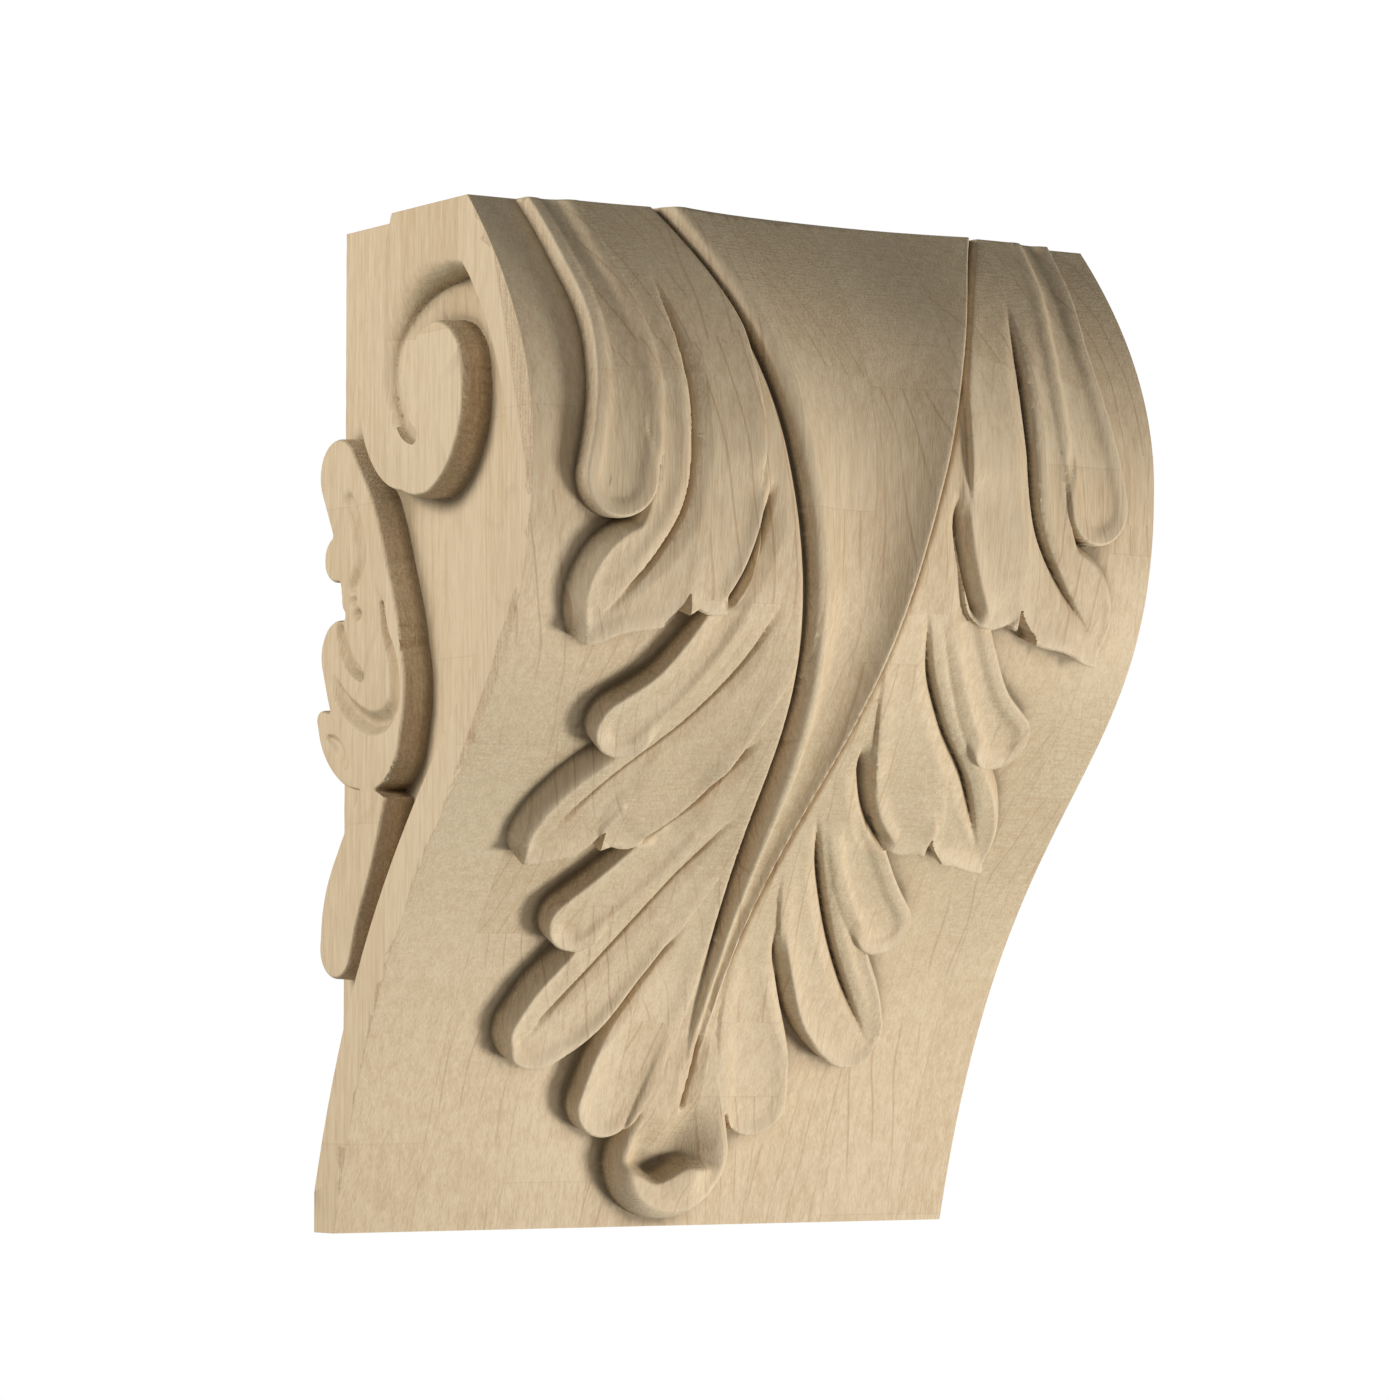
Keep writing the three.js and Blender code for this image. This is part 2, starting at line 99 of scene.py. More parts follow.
class Spline:
    """A smooth curve through points of any number of values, sampled finely."""

    def __init__(self, points: Points, samples: int = 110) -> None:
        """Samples the curve.

        Args:
            points: the points it passes through.
            samples: how many samples it gives.
        """
        knots = np.array(points, float)
        gaps = np.maximum(np.linalg.norm(np.diff(knots[:, :2], axis=0), axis=1), CLOSE)
        at = np.concatenate([[0.0], np.cumsum(gaps)])
        if len(knots) > 2:
            slopes = np.gradient(knots, at, axis=0)
        else:
            slopes = np.repeat(np.diff(knots, axis=0) / gaps, 2, axis=0)
        t = np.linspace(0.0, at[-1], samples)
        left = np.clip(np.searchsorted(at, t, side="right") - 1, 0, len(at) - 2)
        width = at[left + 1] - at[left]
        share = ((t - at[left]) / width)[:, None]
        width = width[:, None]
        near = (1.0 + 2.0 * share) * (1.0 - share) ** 2 * knots[left]
        near_slope = share * (1.0 - share) ** 2 * width * slopes[left]
        far = share**2 * (3.0 - 2.0 * share) * knots[left + 1]
        far_slope = share**2 * (share - 1.0) * width * slopes[left + 1]
        self.samples = near + near_slope + far + far_slope
        self.share = t / at[-1]


@dataclass
class FrontEdge:
    """The S-shaped front edge of the block in the plane of depth and height, in mm from the foot."""

    height: float
    top_depth: float = 89.5
    belly_depth: float = 126.5
    foot_depth: float = 12.0
    belly_level: float = 0.75
    foot_handle: Range = (0.32, 0.47)
    belly_handles: Range = (0.44, 0.805)
    top_handle: Range = (0.84, 0.89)
    samples: int = 1500
    coarse_samples: int = 220

    def __post_init__(self) -> None:
        """Samples the two curves by their length."""
        h, belly = self.height, self.belly_depth
        foot_x = self.foot_depth + self.foot_handle[0] * (belly - self.foot_depth)
        top_x = self.top_depth + self.top_handle[0] * (belly - self.top_depth)
        low = [(self.foot_depth, 0.0), (foot_x, self.foot_handle[1] * h)]
        low += [(belly, self.belly_handles[0] * h), (belly, self.belly_level * h)]
        high = [(belly, self.belly_level * h), (belly, self.belly_handles[1] * h)]
        high += [(top_x, self.top_handle[1] * h), (self.top_depth, h)]
        line = np.vstack([self._bezier(low), self._bezier(high)[1:]])
        steps = np.linalg.norm(np.diff(line, axis=0), axis=1)
        self.line = line
        self.at = np.concatenate([[0.0], np.cumsum(steps)])
        self.length = float(self.at[-1])
        along = np.gradient(line, self.at, axis=0)
        self.along = along / np.linalg.norm(along, axis=1)[:, None]

    def _bezier(self, corners: Points) -> Grid:
        """Samples a cubic curve.

        Args:
            corners: its end points, with its handles between them.

        Returns:
            Its points.
        """
        a, b, c, d = (np.array(p)[None, :] for p in corners)
        t = np.linspace(0.0, 1.0, self.samples)[:, None]
        return (1 - t) ** 3 * a + 3 * (1 - t) ** 2 * t * b + 3 * (1 - t) * t * t * c + t**3 * d

    def upward(self, s: Grid) -> Grid:
        """How far the surface faces up at a length along the edge: the height of its unit normal."""
        return -np.interp(s, self.at, self.along[:, 0])

    def place(self, s: Grid, lift: Grid) -> tuple[Grid, Grid]:
        """Turns a length along the edge and a lift square to it into a depth and a height.

        Args:
            s: length from the foot, in mm.
            lift: distance out of the surface, in mm.

        Returns:
            Depth from the wall and height from the foot, in mm.
        """
        depth = np.interp(s, self.at, self.line[:, 0]) + np.interp(s, self.at, self.along[:, 1]) * lift
        height = np.interp(s, self.at, self.line[:, 1]) + self.upward(s) * lift
        return depth, height

    def distance(self, depth: Grid, height: Grid) -> Grid:
        """How far points of a side lie in from the front edge.

        Args:
            depth: depths from the wall, in mm.
            height: heights from the foot, in mm.

        Returns:
            The distances in mm, from a polyline that is fine enough for the band.
        """
        line = self.line[:: max(1, len(self.line) // self.coarse_samples)]
        best = np.full(depth.shape, FAR)
        for (x0, z0), (x1, z1) in zip(line[:-1], line[1:]):
            dx, dz = x1 - x0, z1 - z0
            t = np.clip(((depth - x0) * dx + (height - z0) * dz) / (dx * dx + dz * dz), 0.0, 1.0)
            np.minimum(best, (depth - x0 - t * dx) ** 2 + (height - z0 - t * dz) ** 2, out=best)
        return np.sqrt(best)


@dataclass(frozen=True)
class Lobe:
    """A raised form along a spine of points (across, along, half width), from its root to its tip.

    root and tip are its heights there, dish the hollow along its middle, tilt how much its inner side stands
    above its outer side, rim the bead along its border, and wall the width of its border's slope. facet is
    the width of the plain slope on its outer side near its tip, and fade the share over which it rises.
    outer and inner are the widths over which those sides flow into what is there, away from the tip. The
    reaches are distances from the border, and the ranges are shares along it and across it.
    """

    points: Points
    root: float
    tip: float
    dish: float = 1.0
    tilt: float = 0.0
    rim: float = 0.0
    wall: float = 1.4
    power: float = 3.0
    facet: float = 0.0
    outer: float = 0.0
    inner: float = 0.0
    fade: float = 0.25
    snap_limit: float = 2.5
    dish_reach: float = 7.0
    tilt_reach: float = 4.0
    rim_reach: float = 4.2
    rim_width: float = 1.3
    facet_along: Range = (0.35, 0.7)
    facet_across: Range = (0.1, -0.35)
    facet_power: float = 1.25
    flow_along: Range = (1.0, 0.86)
    flow_across: Range = (-0.4, -0.75)
    flow_power: float = 1.2


@dataclass(frozen=True)
class Cut:
    """An asymmetric V-shaped cut along a line: one steep bank with a soft lip, and one long slope.

    narrow is the width of the long slope's steeper foot, narrow_share that foot's share of the depth, and
    least the share of the slope's width that is left at the cut's ends.
    """

    points: Points
    depth: float
    slope: float
    steep: float = 0.6
    start: float = 0.3
    end: float = 0.3
    bank: float = 1.3
    narrow: float = 1.7
    narrow_share: float = 0.55
    least: float = 0.3
    lip: float = 0.8
    lip_reach: float = 3.6
    lip_width: float = 2.6
    margin: float = 4.0
    samples: int = 160


@dataclass
class Measure:
    """How a relief's places near a swept disc lie to it."""

    mask: Grid
    inside: Grid
    share: Grid
    q: Grid
    half: Grid


class Relief:
    """A height map over a sheet, carved form by form from the back to the front."""

    def __init__(self, across: Grid, along: Grid, cell: float) -> None:
        """Starts a level sheet.

        Args:
            across: each place's first coordinate, in mm.
            along: each place's second coordinate, in mm.
            cell: the distance between places, in mm.
        """
        self.across = across
        self.along = along
        self.cell = cell
        self.height = np.zeros(across.shape)
        self.free = np.zeros(across.shape, bool)
        self.free[1:-1, 1:-1] = True

    def _near(self, points: Grid, margin: float) -> Grid:
        """Finds the places near a line.

        Args:
            points: the line's points.
            margin: how far outside their box to look.

        Returns:
            A mask of the places.
        """
        low = points[:, :2].min(axis=0) - margin
        high = points[:, :2].max(axis=0) + margin
        inside = (self.across > low[0]) & (self.across < high[0])
        return inside & (self.along > low[1]) & (self.along < high[1])

    def _nearest(self, samples: Grid, mask: Grid) -> tuple[Grid, Grid]:
        """Finds the nearest of the discs along a line for each place.

        Args:
            samples: the line's samples, with the disc's radius third.
            mask: the places to look at.

        Returns:
            The distance outside the disc, and the sample's number.
        """
        a, b = self.across[mask], self.along[mask]
        best = np.full(a.shape, FAR)
        index = np.zeros(a.shape, int)
        for i, (x, s, r) in enumerate(samples):
            gap = np.hypot(a - x, b - s) - r
            closer = gap < best
            best[closer] = gap[closer]
            index[closer] = i
        return best, index

    def measure(self, points: Points, snap: bool = False) -> Measure:
        """Measures every near place against a swept disc.

        Args:
            points: the spine's points, with the disc's radius third.
            snap: whether places next to the border move on to it, or one cell inside it.

        Returns:
            The places' distance inside the form, share along it, signed share across it and half width.
        """
        line = Spline(points)
        samples = line.samples
        mask = self._near(samples, float(samples[:, 2].max()) + self.cell)
        best, index = self._nearest(samples, mask)
        a, b = self.across[mask], self.along[mask]
        inside = -best
        if snap:
            row = np.rint(inside / self.cell)
            move = np.where((row >= 0) & (row <= 1) & self.free[mask], inside - row * self.cell, 0.0)
            out_x, out_s = a - samples[index, 0], b - samples[index, 1]
            size = np.maximum(np.hypot(out_x, out_s), TINY)
            a, b = a + out_x / size * move, b + out_s / size * move
            self.across[mask], self.along[mask] = a, b
            inside = inside - move
        side = self._side(samples, index, a, b)
        half = samples[index, 2]
        return Measure(mask, inside, line.share[index], np.clip(side / half, -1.0, 1.0), half)

    @staticmethod
    def _side(samples: Grid, index: Grid, a: Grid, b: Grid) -> Grid:
        """Measures on which side of a line places lie.

        Args:
            samples: the line's samples.
            index: each place's nearest sample.
            a: the places' first coordinate.
            b: their second.

        Returns:
            The signed distances from the line.
        """
        heading = np.gradient(samples[:, :2], axis=0)
        heading /= np.linalg.norm(heading, axis=1)[:, None]
        return (a - samples[index, 0]) * heading[index, 1] - (b - samples[index, 1]) * heading[index, 0]

    def raise_lobe(self, lobe: Lobe, mirror: float = 1.0) -> None:
        """Lays a lobe over what is there.

        Args:
            lobe: the form.
            mirror: 1 as drawn, -1 mirrored across.
        """
        points = [(mirror * p[0], *p[1:]) for p in lobe.points]
        m = self.measure(points, snap=lobe.wall < lobe.snap_limit)
        q = m.q * mirror
        crest = lobe.root + (lobe.tip - lobe.root) * m.share
        hollow = lobe.dish * (1.0 - q * q) * smooth(0.0, lobe.dish_reach, m.inside)
        bead = lobe.rim * hump(m.inside, lobe.rim_reach, lobe.rim_width)
        top = crest - hollow + bead + lobe.tilt * q * smooth(0.0, lobe.tilt_reach, m.half)
        slant = smooth(*lobe.facet_along, m.share) * smooth(*lobe.facet_across, q) if lobe.facet else 0.0
        wall = lobe.wall + (lobe.facet - lobe.wall) * slant
        power = lobe.power + (lobe.facet_power - lobe.power) * slant
        flow = np.where(q < 0, lobe.outer, lobe.inner)
        away = np.maximum(smooth(*lobe.flow_along, m.share), smooth(*lobe.flow_across, q))
        soft = (flow > 0) * away
        wall = wall + (flow - wall) * soft
        power = power + (lobe.flow_power - power) * soft
        rise = rounded_wall(m.inside, wall, power) * smooth(0.0, lobe.fade, m.share)
        height = self.height[m.mask]
        self.height[m.mask] = height + (top - height) * rise

    def cut(self, cut: Cut, mirror: float = 1.0) -> None:
        """Cuts a vein or a wedge into what is there.

        Args:
            cut: the cut.
            mirror: 1 as drawn, -1 mirrored across.
        """
        points = [(mirror * p[0], p[1], 0.0) for p in cut.points]
        line = Spline(points, cut.samples)
        samples = line.samples
        mask = self._near(samples, cut.slope + cut.margin)
        best, index = self._nearest(samples, mask)
        a, b = self.across[mask], self.along[mask]
        onto = (best < 0.5 * self.cell) & self.free[mask]
        a, b = np.where(onto, samples[index, 0], a), np.where(onto, samples[index, 1], b)
        self.across[mask], self.along[mask] = a, b
        best = np.where(onto, 0.0, best)
        side = self._side(samples, index, a, b) * mirror
        share = line.share[index]
        swell = smooth(0.0, cut.start, share) * smooth(0.0, cut.end, 1.0 - share)
        width = np.where(side > 0, cut.slope * (cut.least + (1.0 - cut.least) * swell), cut.steep)
        bank = np.clip(1.0 - best / width, 0.0, 1.0)
        narrow = np.clip(1.0 - best / cut.narrow, 0.0, 1.0)
        long_bank = cut.narrow_share * narrow + (1.0 - cut.narrow_share) * bank**cut.bank
        lip = cut.lip * swell * hump(side, -cut.lip_reach, cut.lip_width)
        self.height[mask] += lip - cut.depth * swell * np.where(side > 0, long_bank, bank)


class Side(Enum):
    """The two halves of the corbel, as a sign across it."""

    LEFT = -1.0
    RIGHT = 1.0


@dataclass
class Spray:
    """One spray of the half leaf: its lobes and the cuts between them, measured outwards from the stem."""

    lobes: list[Lobe]
    cuts: list[Cut]


def upper_spray() -> Spray:
    """The uppermost spray, which runs off the top edge.

    Returns:
        The spray.
    """
    small = [(89, 362, 8.5), (86.5, 338, 8.5), (85, 322, 8.7), (81.6, 300, 9.6), (81.6, 278, 11.3)]
    small += [(86, 252.5, 12)]
    large = [(66, 362, 23), (63, 330, 21), (58, 290, 20), (58, 252, 19.5), (69, 229, 17.5)]
    large += [(81, 224, 15), (86, 219.5, 12), (89.5, 212.5, 7), (91.3, 208.6, 3.4)]
    under = [(50, 262, 15), (48, 240, 13.5), (50, 227, 12)]
    vein = [(65, 318), (62, 294), (61, 270), (64.5, 244), (72.5, 231), (90, 212)]
    wedge = [(33, 255), (34.6, 243), (39, 229), (46, 216)]
    return Spray(
        lobes=[
            Lobe(large, 6.6, 8.7, dish=1.2, tilt=0.9, facet=4.2, fade=0.01),
            Lobe(under, 6.6, 8.2, dish=0.5, outer=9.0, fade=0.4),
            Lobe(small, 4.9, 7.4, dish=2.0, tilt=1.1, rim=0.2, inner=6.0, fade=0.01),
        ],
        cuts=[Cut(vein, 4.2, 6.5, steep=1.0), Cut(wedge, 5.0, 7.0, steep=3.4, end=0.15)],
    )


def middle_spray() -> Spray:
    """The middle spray.

    Returns:
        The spray.
    """
    small = [(38, 225, 8), (48, 205, 8.5), (58, 190, 9), (68, 180, 10.5)]
    large = [(27, 215, 14), (39, 190, 20), (50, 165, 19.5), (67, 148.5, 16.5), (75.5, 141.5, 11.5)]
    large += [(80.5, 135.5, 7), (82.4, 131.8, 3.6)]
    under = [(38, 172, 13), (45, 157, 13), (51, 146, 11.5)]
    vein = [(25, 223), (33, 203), (46, 183), (64, 162), (80, 135.5)]
    wedge = [(18, 178), (24, 164.5), (34, 147.6), (46, 135.5)]
    return Spray(
        lobes=[
            Lobe(large, 6.6, 8.5, dish=1.8, tilt=0.5, facet=4.5),
            Lobe(under, 6.2, 8.0, dish=0.5, outer=9.0, fade=0.4),
            Lobe(small, 6.4, 8.3, dish=1.7, tilt=0.8, rim=0.25, inner=6.0),
        ],
        cuts=[Cut(vein, 4.2, 6.0, steep=1.0), Cut(wedge, 5.0, 6.5, steep=3.2, end=0.15)],
    )


def lower_spray() -> Spray:
    """The lower spray and the last lobe beside the curled tip.

    Returns:
        The spray.
    """
    small = [(26, 150, 8), (38, 130, 10), (48, 116, 10.5), (56, 107, 10.5)]
    large = [(19, 140, 12), (33, 112, 17), (42, 89, 16.5), (52, 75, 15.5), (57.5, 68, 13.2)]
    last = [(12, 100, 7), (17, 77, 11), (23, 58, 13), (27, 43.5, 12)]
    vein = [(12.6, 151.5), (24, 129.3), (38.6, 102), (64.3, 62.7)]
    wedge = [(16, 106), (25, 87), (35.4, 68), (45, 58)]
    return Spray(
        lobes=[
            Lobe(last, 6.4, 8.4, dish=1.2),
            Lobe(large, 6.6, 9.0, dish=1.5, facet=3.2),
            Lobe(small, 6.6, 8.4, dish=1.7, tilt=0.8, rim=0.25, inner=6.0),
        ],
        cuts=[Cut(vein, 4.2, 5.5, steep=1.0), Cut(wedge, 5.0, 6.0, steep=3.0, end=0.15)],
    )


@dataclass
class Stem:
    """The fluted stem in the middle of the front: steep outer walls, a rounded rim and a smooth channel.

    The shares are parts of its half width, which limit the rim, the flute and the wall where it is slim.
    """

    length: float
    foot: float = 30.0
    foot_half: float = 2.8
    top_half: float = 60.0
    flare: float = 2.7
    lean: float = 6.8
    lean_power: int = 6
    top: float = 10.0
    foot_drop: float = 1.4
    foot_rise: Range = (0.0, 0.04)
    flute: float = 6.0
    flute_share: float = 0.42
    flute_power: float = 2.2
    bead: float = 0.9
    left_rim: float = 5.0
    right_rim: float = 1.8
    rim_share: float = 0.6
    right_drop: float = 3.4
    drop_across: Range = (-0.4, 0.5)
    drop_along: Range = (0.85, 1.0)
    drop_share: float = 0.6
    left_wall: float = 3.6
    right_wall: float = 1.5
    wall_share: float = 0.5
    groove: float = 2.8
    groove_along: Range = (0.1, 0.3)
    leaf_height: float = 6.0

    def carve(self, relief: Relief) -> None:
        """Lays the stem over the leaf.

        Args:
            relief: the front's height map.
        """
        s = relief.along
        share = np.clip((s - self.foot) / (self.length - self.foot), 0.0, 1.1)
        half = self.foot_half + (self.top_half - self.foot_half) * share**self.flare
        offset = relief.across - self.lean * share**self.lean_power
        side = np.sign(offset)
        inside = half - np.abs(offset)
        row = np.rint(inside / relief.cell)
        near = (row >= 0) & (row <= 1) & relief.free & (s > self.foot)
        move = np.where(near, inside - row * relief.cell, 0.0)
        relief.across += side * move
        inside = inside - move
        beside = hump(inside, -0.2, 1.5) * smooth(*self.groove_along, share)
        relief.height -= self.groove * beside * np.clip(relief.height / self.leaf_height, 0.0, 1.0)
        rim = np.minimum(np.where(side < 0, self.left_rim, self.right_rim), self.rim_share * half)
        floor = np.clip((inside - rim) / np.maximum(half - rim, 0.5), 0.0, 1.0)
        drop = self.right_drop * smooth(*self.drop_across, offset / half) * smooth(*self.drop_along, share)
        crown = self.top - self.foot_drop * (1.0 - smooth(0.0, 0.4, share)) - drop
        flute = np.minimum(self.flute, self.flute_share * half) - self.drop_share * drop
        slope = 1.0 - (1.0 - floor) ** self.flute_power
        bead = self.bead * (1.0 - np.sqrt(1.0 - (1.0 - np.clip(inside / rim, 0.0, 1.0)) ** 2))
        top = np.where(inside < rim, crown - bead, crown - flute * slope)
        wall = np.where(side < 0, np.minimum(self.left_wall, self.wall_share * half), self.right_wall)
        rise = rounded_wall(inside, wall, 2.0) * smooth(*self.foot_rise, share)
        relief.height += (top - relief.height) * np.where(inside > 0, rise, 0.0)


@dataclass
class CurledTip:
    """The curled tip below the stem: a slanted bulb with a soft hollow behind a lip, and a slot above it.

    A wave of the lip is a lift, a middle and a reach; a swell is a lift, then both across and both along.
    """

    bulb: Lobe = Lobe(
        ((0, 78, 9), (0, 50, 15.5), (0, 25, 21.5)), 5.5, 12.0, dish=0.0, wall=5.2, power=1.8, fade=0.5
    )
    lip_level: float = 22.0
    lip_waves: Points = ((-3.5, -7.0, 6.0), (1.6, 4.0, 5.0))
    hollow_depth: float = 8.2
    hollow_wall: Range = (-1.3, 2.8)
    hollow_length: float = 13.5
    hollow_middle: float = -2.5
    hollow_half: float = 14.5
    swells: Points = ((1.4, 4.0, 6.0, 18.5, 4.5), (-1.8, 13.0, 4.0, 19.0, 6.0))
    slot: Cut = Cut(
        ((-1.0, 40.5), (-0.8, 47.0), (0.2, 56.0), (1.0, 70.0)), 4.0, 5.0, steep=0.8, start=0.15, lip=0.5
    )

    def carve(self, relief: Relief) -> None:
        """Lays the tip over the stem's foot.

        Args:
            relief: the front's height map.
        """
        relief.raise_lobe(self.bulb)
        x, s = relief.across, relief.along
        behind = s - sum((lift * hump(x, *place) for lift, *place in self.lip_waves), self.lip_level)
        past = np.maximum(behind - self.hollow_wall[1], 0.0)
        hollow = smooth(*self.hollow_wall, behind) * hump(past, 0.0, self.hollow_length)
        relief.height -= self.hollow_depth * hollow * hump(x, self.hollow_middle, self.hollow_half, 4)
        for lift, middle, reach, level, length in self.swells:
            relief.height += lift * hump(x, middle, reach) * hump(s, level, length)
        relief.cut(self.slot)


@dataclass
class FrontLeaf:
    """The acanthus leaf on the front: two halves, the fluted stem between them and the curled tip."""

    length: float
    body: Points = (
        (64, 362, 25), (52, 300, 22), (40, 260, 20), (32, 220, 18), (27, 180, 16), (20, 130, 13),
        (14, 90, 12), (9, 50, 12),
    )
    body_top: float = 7.0
    notches: tuple[Points, ...] = (
        ((59.6, 221.5, 0.3), (60.4, 217.5, 1.6), (63.0, 211.5, 4.2)),
        ((59.6, 141.5, 0.3), (60.4, 137.5, 1.5), (63.0, 131.0, 4.0)),
    )
    notch_wall: float = 0.9

    def carve(self, relief: Relief) -> None:
        """Carves the whole leaf.

        Args:
            relief: the front's height map.
        """
        sprays = [lower_spray(), middle_spray(), upper_spray()]
        for side in Side:
            body = Lobe(self.body, self.body_top, self.body_top, dish=0.8, wall=2.6, fade=0.01)
            relief.raise_lobe(body, side.value)
            for spray in sprays:
                for lobe in spray.lobes:
                    relief.raise_lobe(lobe, side.value)
            for spray in sprays:
                for cut in spray.cuts:
                    relief.cut(cut, side.value)
            for notch in self.notches:
                m = relief.measure([(side.value * p[0], *p[1:]) for p in notch], snap=True)
                relief.height[m.mask] *= 1.0 - rounded_wall(m.inside, self.notch_wall)
        Stem(self.length).carve(relief)
        CurledTip().carve(relief)


@dataclass
class SideCarving:
    """A side: a band along the front edge that ends in a scroll, and leaves on a cut-back field.

    The scroll's lines are pairs of an angle about the eye, in degrees up from the front, and a radius. What
    rises, widens or fades does so between two such angles; a swell is a width, its middle angle and reach.
    """

    edge: FrontEdge
    recess: float = 10.0
    band: float = 15.0
    band_overlap: float = 0.6
    cove: float = 8.0
    cove_rise: float = 4.0
    cove_levels: Range = (140.0, 175.0)
    back_cove: Range = (9.0, 8.0)
    back_cove_rise: float = 5.5
    back_cove_widens: Range = (165.0, 110.0)
    back_cove_fades: Range = (240.0, 205.0)
    eye: tuple[float, float] = (60.0, 246.0)
    groove: float = 3.2
    floor_rises: Range = (45.0, 140.0)
    open_turn: float = 103.0
    closed_turn: float = 205.0
    overlap: float = 0.4
    wall: float = 1.2
    back_wall: float = 1.3
    cap_swell: Triple = (8.0, 100.0, 44.0)
    cap_extra: float = 2.4
    cap_widens: Range = (120.0, 165.0)
    cap_power: float = 1.8
    eye_wall: Range = (1.3, 1.7)
    eye_widens: Range = (70.0, 150.0)
    eye_power: float = 2.2
    eye_line: Points = (
        (0, 26.4), (17, 27.3), (34, 28.8), (49, 28.4), (64, 26.8), (88, 21.6), (112, 14.4), (150, 8.0),
        (187, 5.4), (230, 7.0), (262, 9.5),
    )
    crease_line: Points = (
        (0, 52), (16, 50.5), (31, 49.7), (42, 47.8), (55, 44.5), (72, 37.8), (91, 32.9), (114, 26.8),
        (125, 24.6), (148, 19.0), (185, 13.0), (238, 12.5), (262, 12.5),
    )
    back_line: Points = (
        (103, 63), (112, 52.1), (126, 46.4), (143, 42.2), (155, 38.6), (185, 33.7), (210, 31.0),
        (234, 28.5), (250, 26.6), (283, 27.4), (306, 26.4), (330, 25.7), (360, 26.4),
    )
    hook: Points = (
        (50.9, 247.6, 3.8), (50.9, 244.4, 3.8), (52.0, 241.3, 3.6), (54.1, 239.0, 3.3), (57.5, 237.1, 2.8),
    )
    hook_wall: float = 1.6
    leaves: tuple[Points, ...] = (
        ((33, 158, 18), (33, 174, 18), (29.5, 193, 15), (23, 212, 13.5), (12.5, 229, 11.5)),
        ((34, 176, 16), (34, 163, 19.5), (32, 151, 19)),
        ((26, 206, 8), (18, 204, 8), (11.5, 203.5, 7.5)),
        ((30, 152, 14), (21, 160, 13), (13.5, 174, 11.5)),
        ((32, 149, 17), (20, 146, 12), (9, 150, 7.5), (3, 155, 3.5)),
        ((36, 133, 7), (24, 113, 10.5), (14.5, 96, 11), (12, 86, 10)),
    )
    valleys: tuple[tuple[float, Points], ...] = (
        (2.0, ((17, 224, 3), (22, 217, 4), (25, 210, 4.5), (26.5, 202, 4.5), (22, 194.5, 3))),
        (3.0, ((13.5, 185, 2), (16.4, 177, 3.6), (20.4, 171.5, 3.6), (27, 167.3, 2.4))),
        (3.0, ((9, 169, 3), (14.6, 161.7, 4), (23.4, 156, 4.5), (33, 152.9, 4.5), (41.8, 153.7, 4.5),
               (47, 158.5, 4), (47.3, 165, 3.6), (45.5, 172.5, 3), (42.2, 178.4, 2.4), (39.6, 188, 1.6))),
        (1.4, ((6, 150, 1.2), (13, 147, 3), (18, 141, 2.4))),
    )
    pits: Points = ((22.2, 190.3, 1.7, 1.8), (24.8, 186.0, 2.0, 2.2), (14.5, 186.2, 1.8, 4.0))

    def _line(self, line: Points, turn: Grid) -> Grid:
        """The radius of one of the scroll's lines at each angle."""
        return np.interp(turn, *np.array(line).T)

    def carve(self, relief: Relief) -> None:
        """Carves one side.

        Args:
            relief: the side's height map, over depth from the wall and height from the foot.
        """
        depth, height = relief.across, relief.along
        in_band = self.band - self.edge.distance(depth, height)
        dx, dz = depth - self.eye[0], height - self.eye[1]
        radius = np.hypot(dx, dz)
        turn = np.mod(np.degrees(np.arctan2(dz, dx)), 360.0)
        in_eye = self._line(self.eye_line, turn) - radius
        in_cap = radius - self._line(self.crease_line, turn)
        in_back = self._line(self.back_line, turn) - radius
        floor = (self.recess - self.groove) * smooth(*self.floor_rises, turn)
        swell, middle, reach = self.cap_swell
        late = self.cap_extra * smooth(*self.cap_widens, turn)
        cap_width = self.wall + swell * hump(turn, middle, reach) + late
        eye_width = self.eye_wall[0] + self.eye_wall[1] * smooth(*self.eye_widens, turn)
        cap = rounded_wall(in_cap, cap_width, self.cap_power)
        eye = rounded_wall(in_eye + self.overlap, eye_width, self.eye_power)
        ring = floor + (self.recess - floor) * np.maximum(cap, eye)
        scroll = np.where(turn < self.closed_turn, ring, self.recess)
        sharp = rounded_wall(in_back + self.overlap, self.back_wall)
        within = np.where(turn < self.open_turn, 1.0, sharp)
        base = self._coves(relief, in_band, in_back, turn)
        relief.height = np.maximum(base, base + (scroll - base) * within)
        relief.height += (self.recess - relief.height) * rounded_wall(in_band + self.band_overlap, self.wall)
        end = relief.measure(self.hook, snap=True)
        level = self.recess - self.groove * rounded_wall(end.inside, self.hook_wall, 2.0)
        relief.height[end.mask] = np.minimum(relief.height[end.mask], level)
        self._leaves(relief)

    def _coves(self, relief: Relief, in_band: Grid, in_back: Grid, turn: Grid) -> Grid:
        """Sweeps the field up beside the band and behind the scroll.

        Args:
            relief: the side's height map.
            in_band: distance inside the band.
            in_back: distance inside the scroll's back line.
            turn: angle about the eye, in degrees.

        Returns:
            The field's height.
        """
        near_band = np.clip(1.0 + np.minimum(in_band, 0.0) / self.cove, 0.0, 1.0) ** 2
        beside = self.cove_rise * near_band * smooth(*self.cove_levels, relief.along)
        reach = self.back_cove[0] + self.back_cove[1] * smooth(*self.back_cove_widens, turn)
        near_back = np.clip(1.0 + np.minimum(in_back, 0.0) / reach, 0.0, 1.0) ** 2
        outside = (in_back <= 0) & (turn > self.open_turn)
        behind = self.back_cove_rise * near_back * outside * smooth(*self.back_cove_fades, turn)
        return np.maximum(beside, behind)

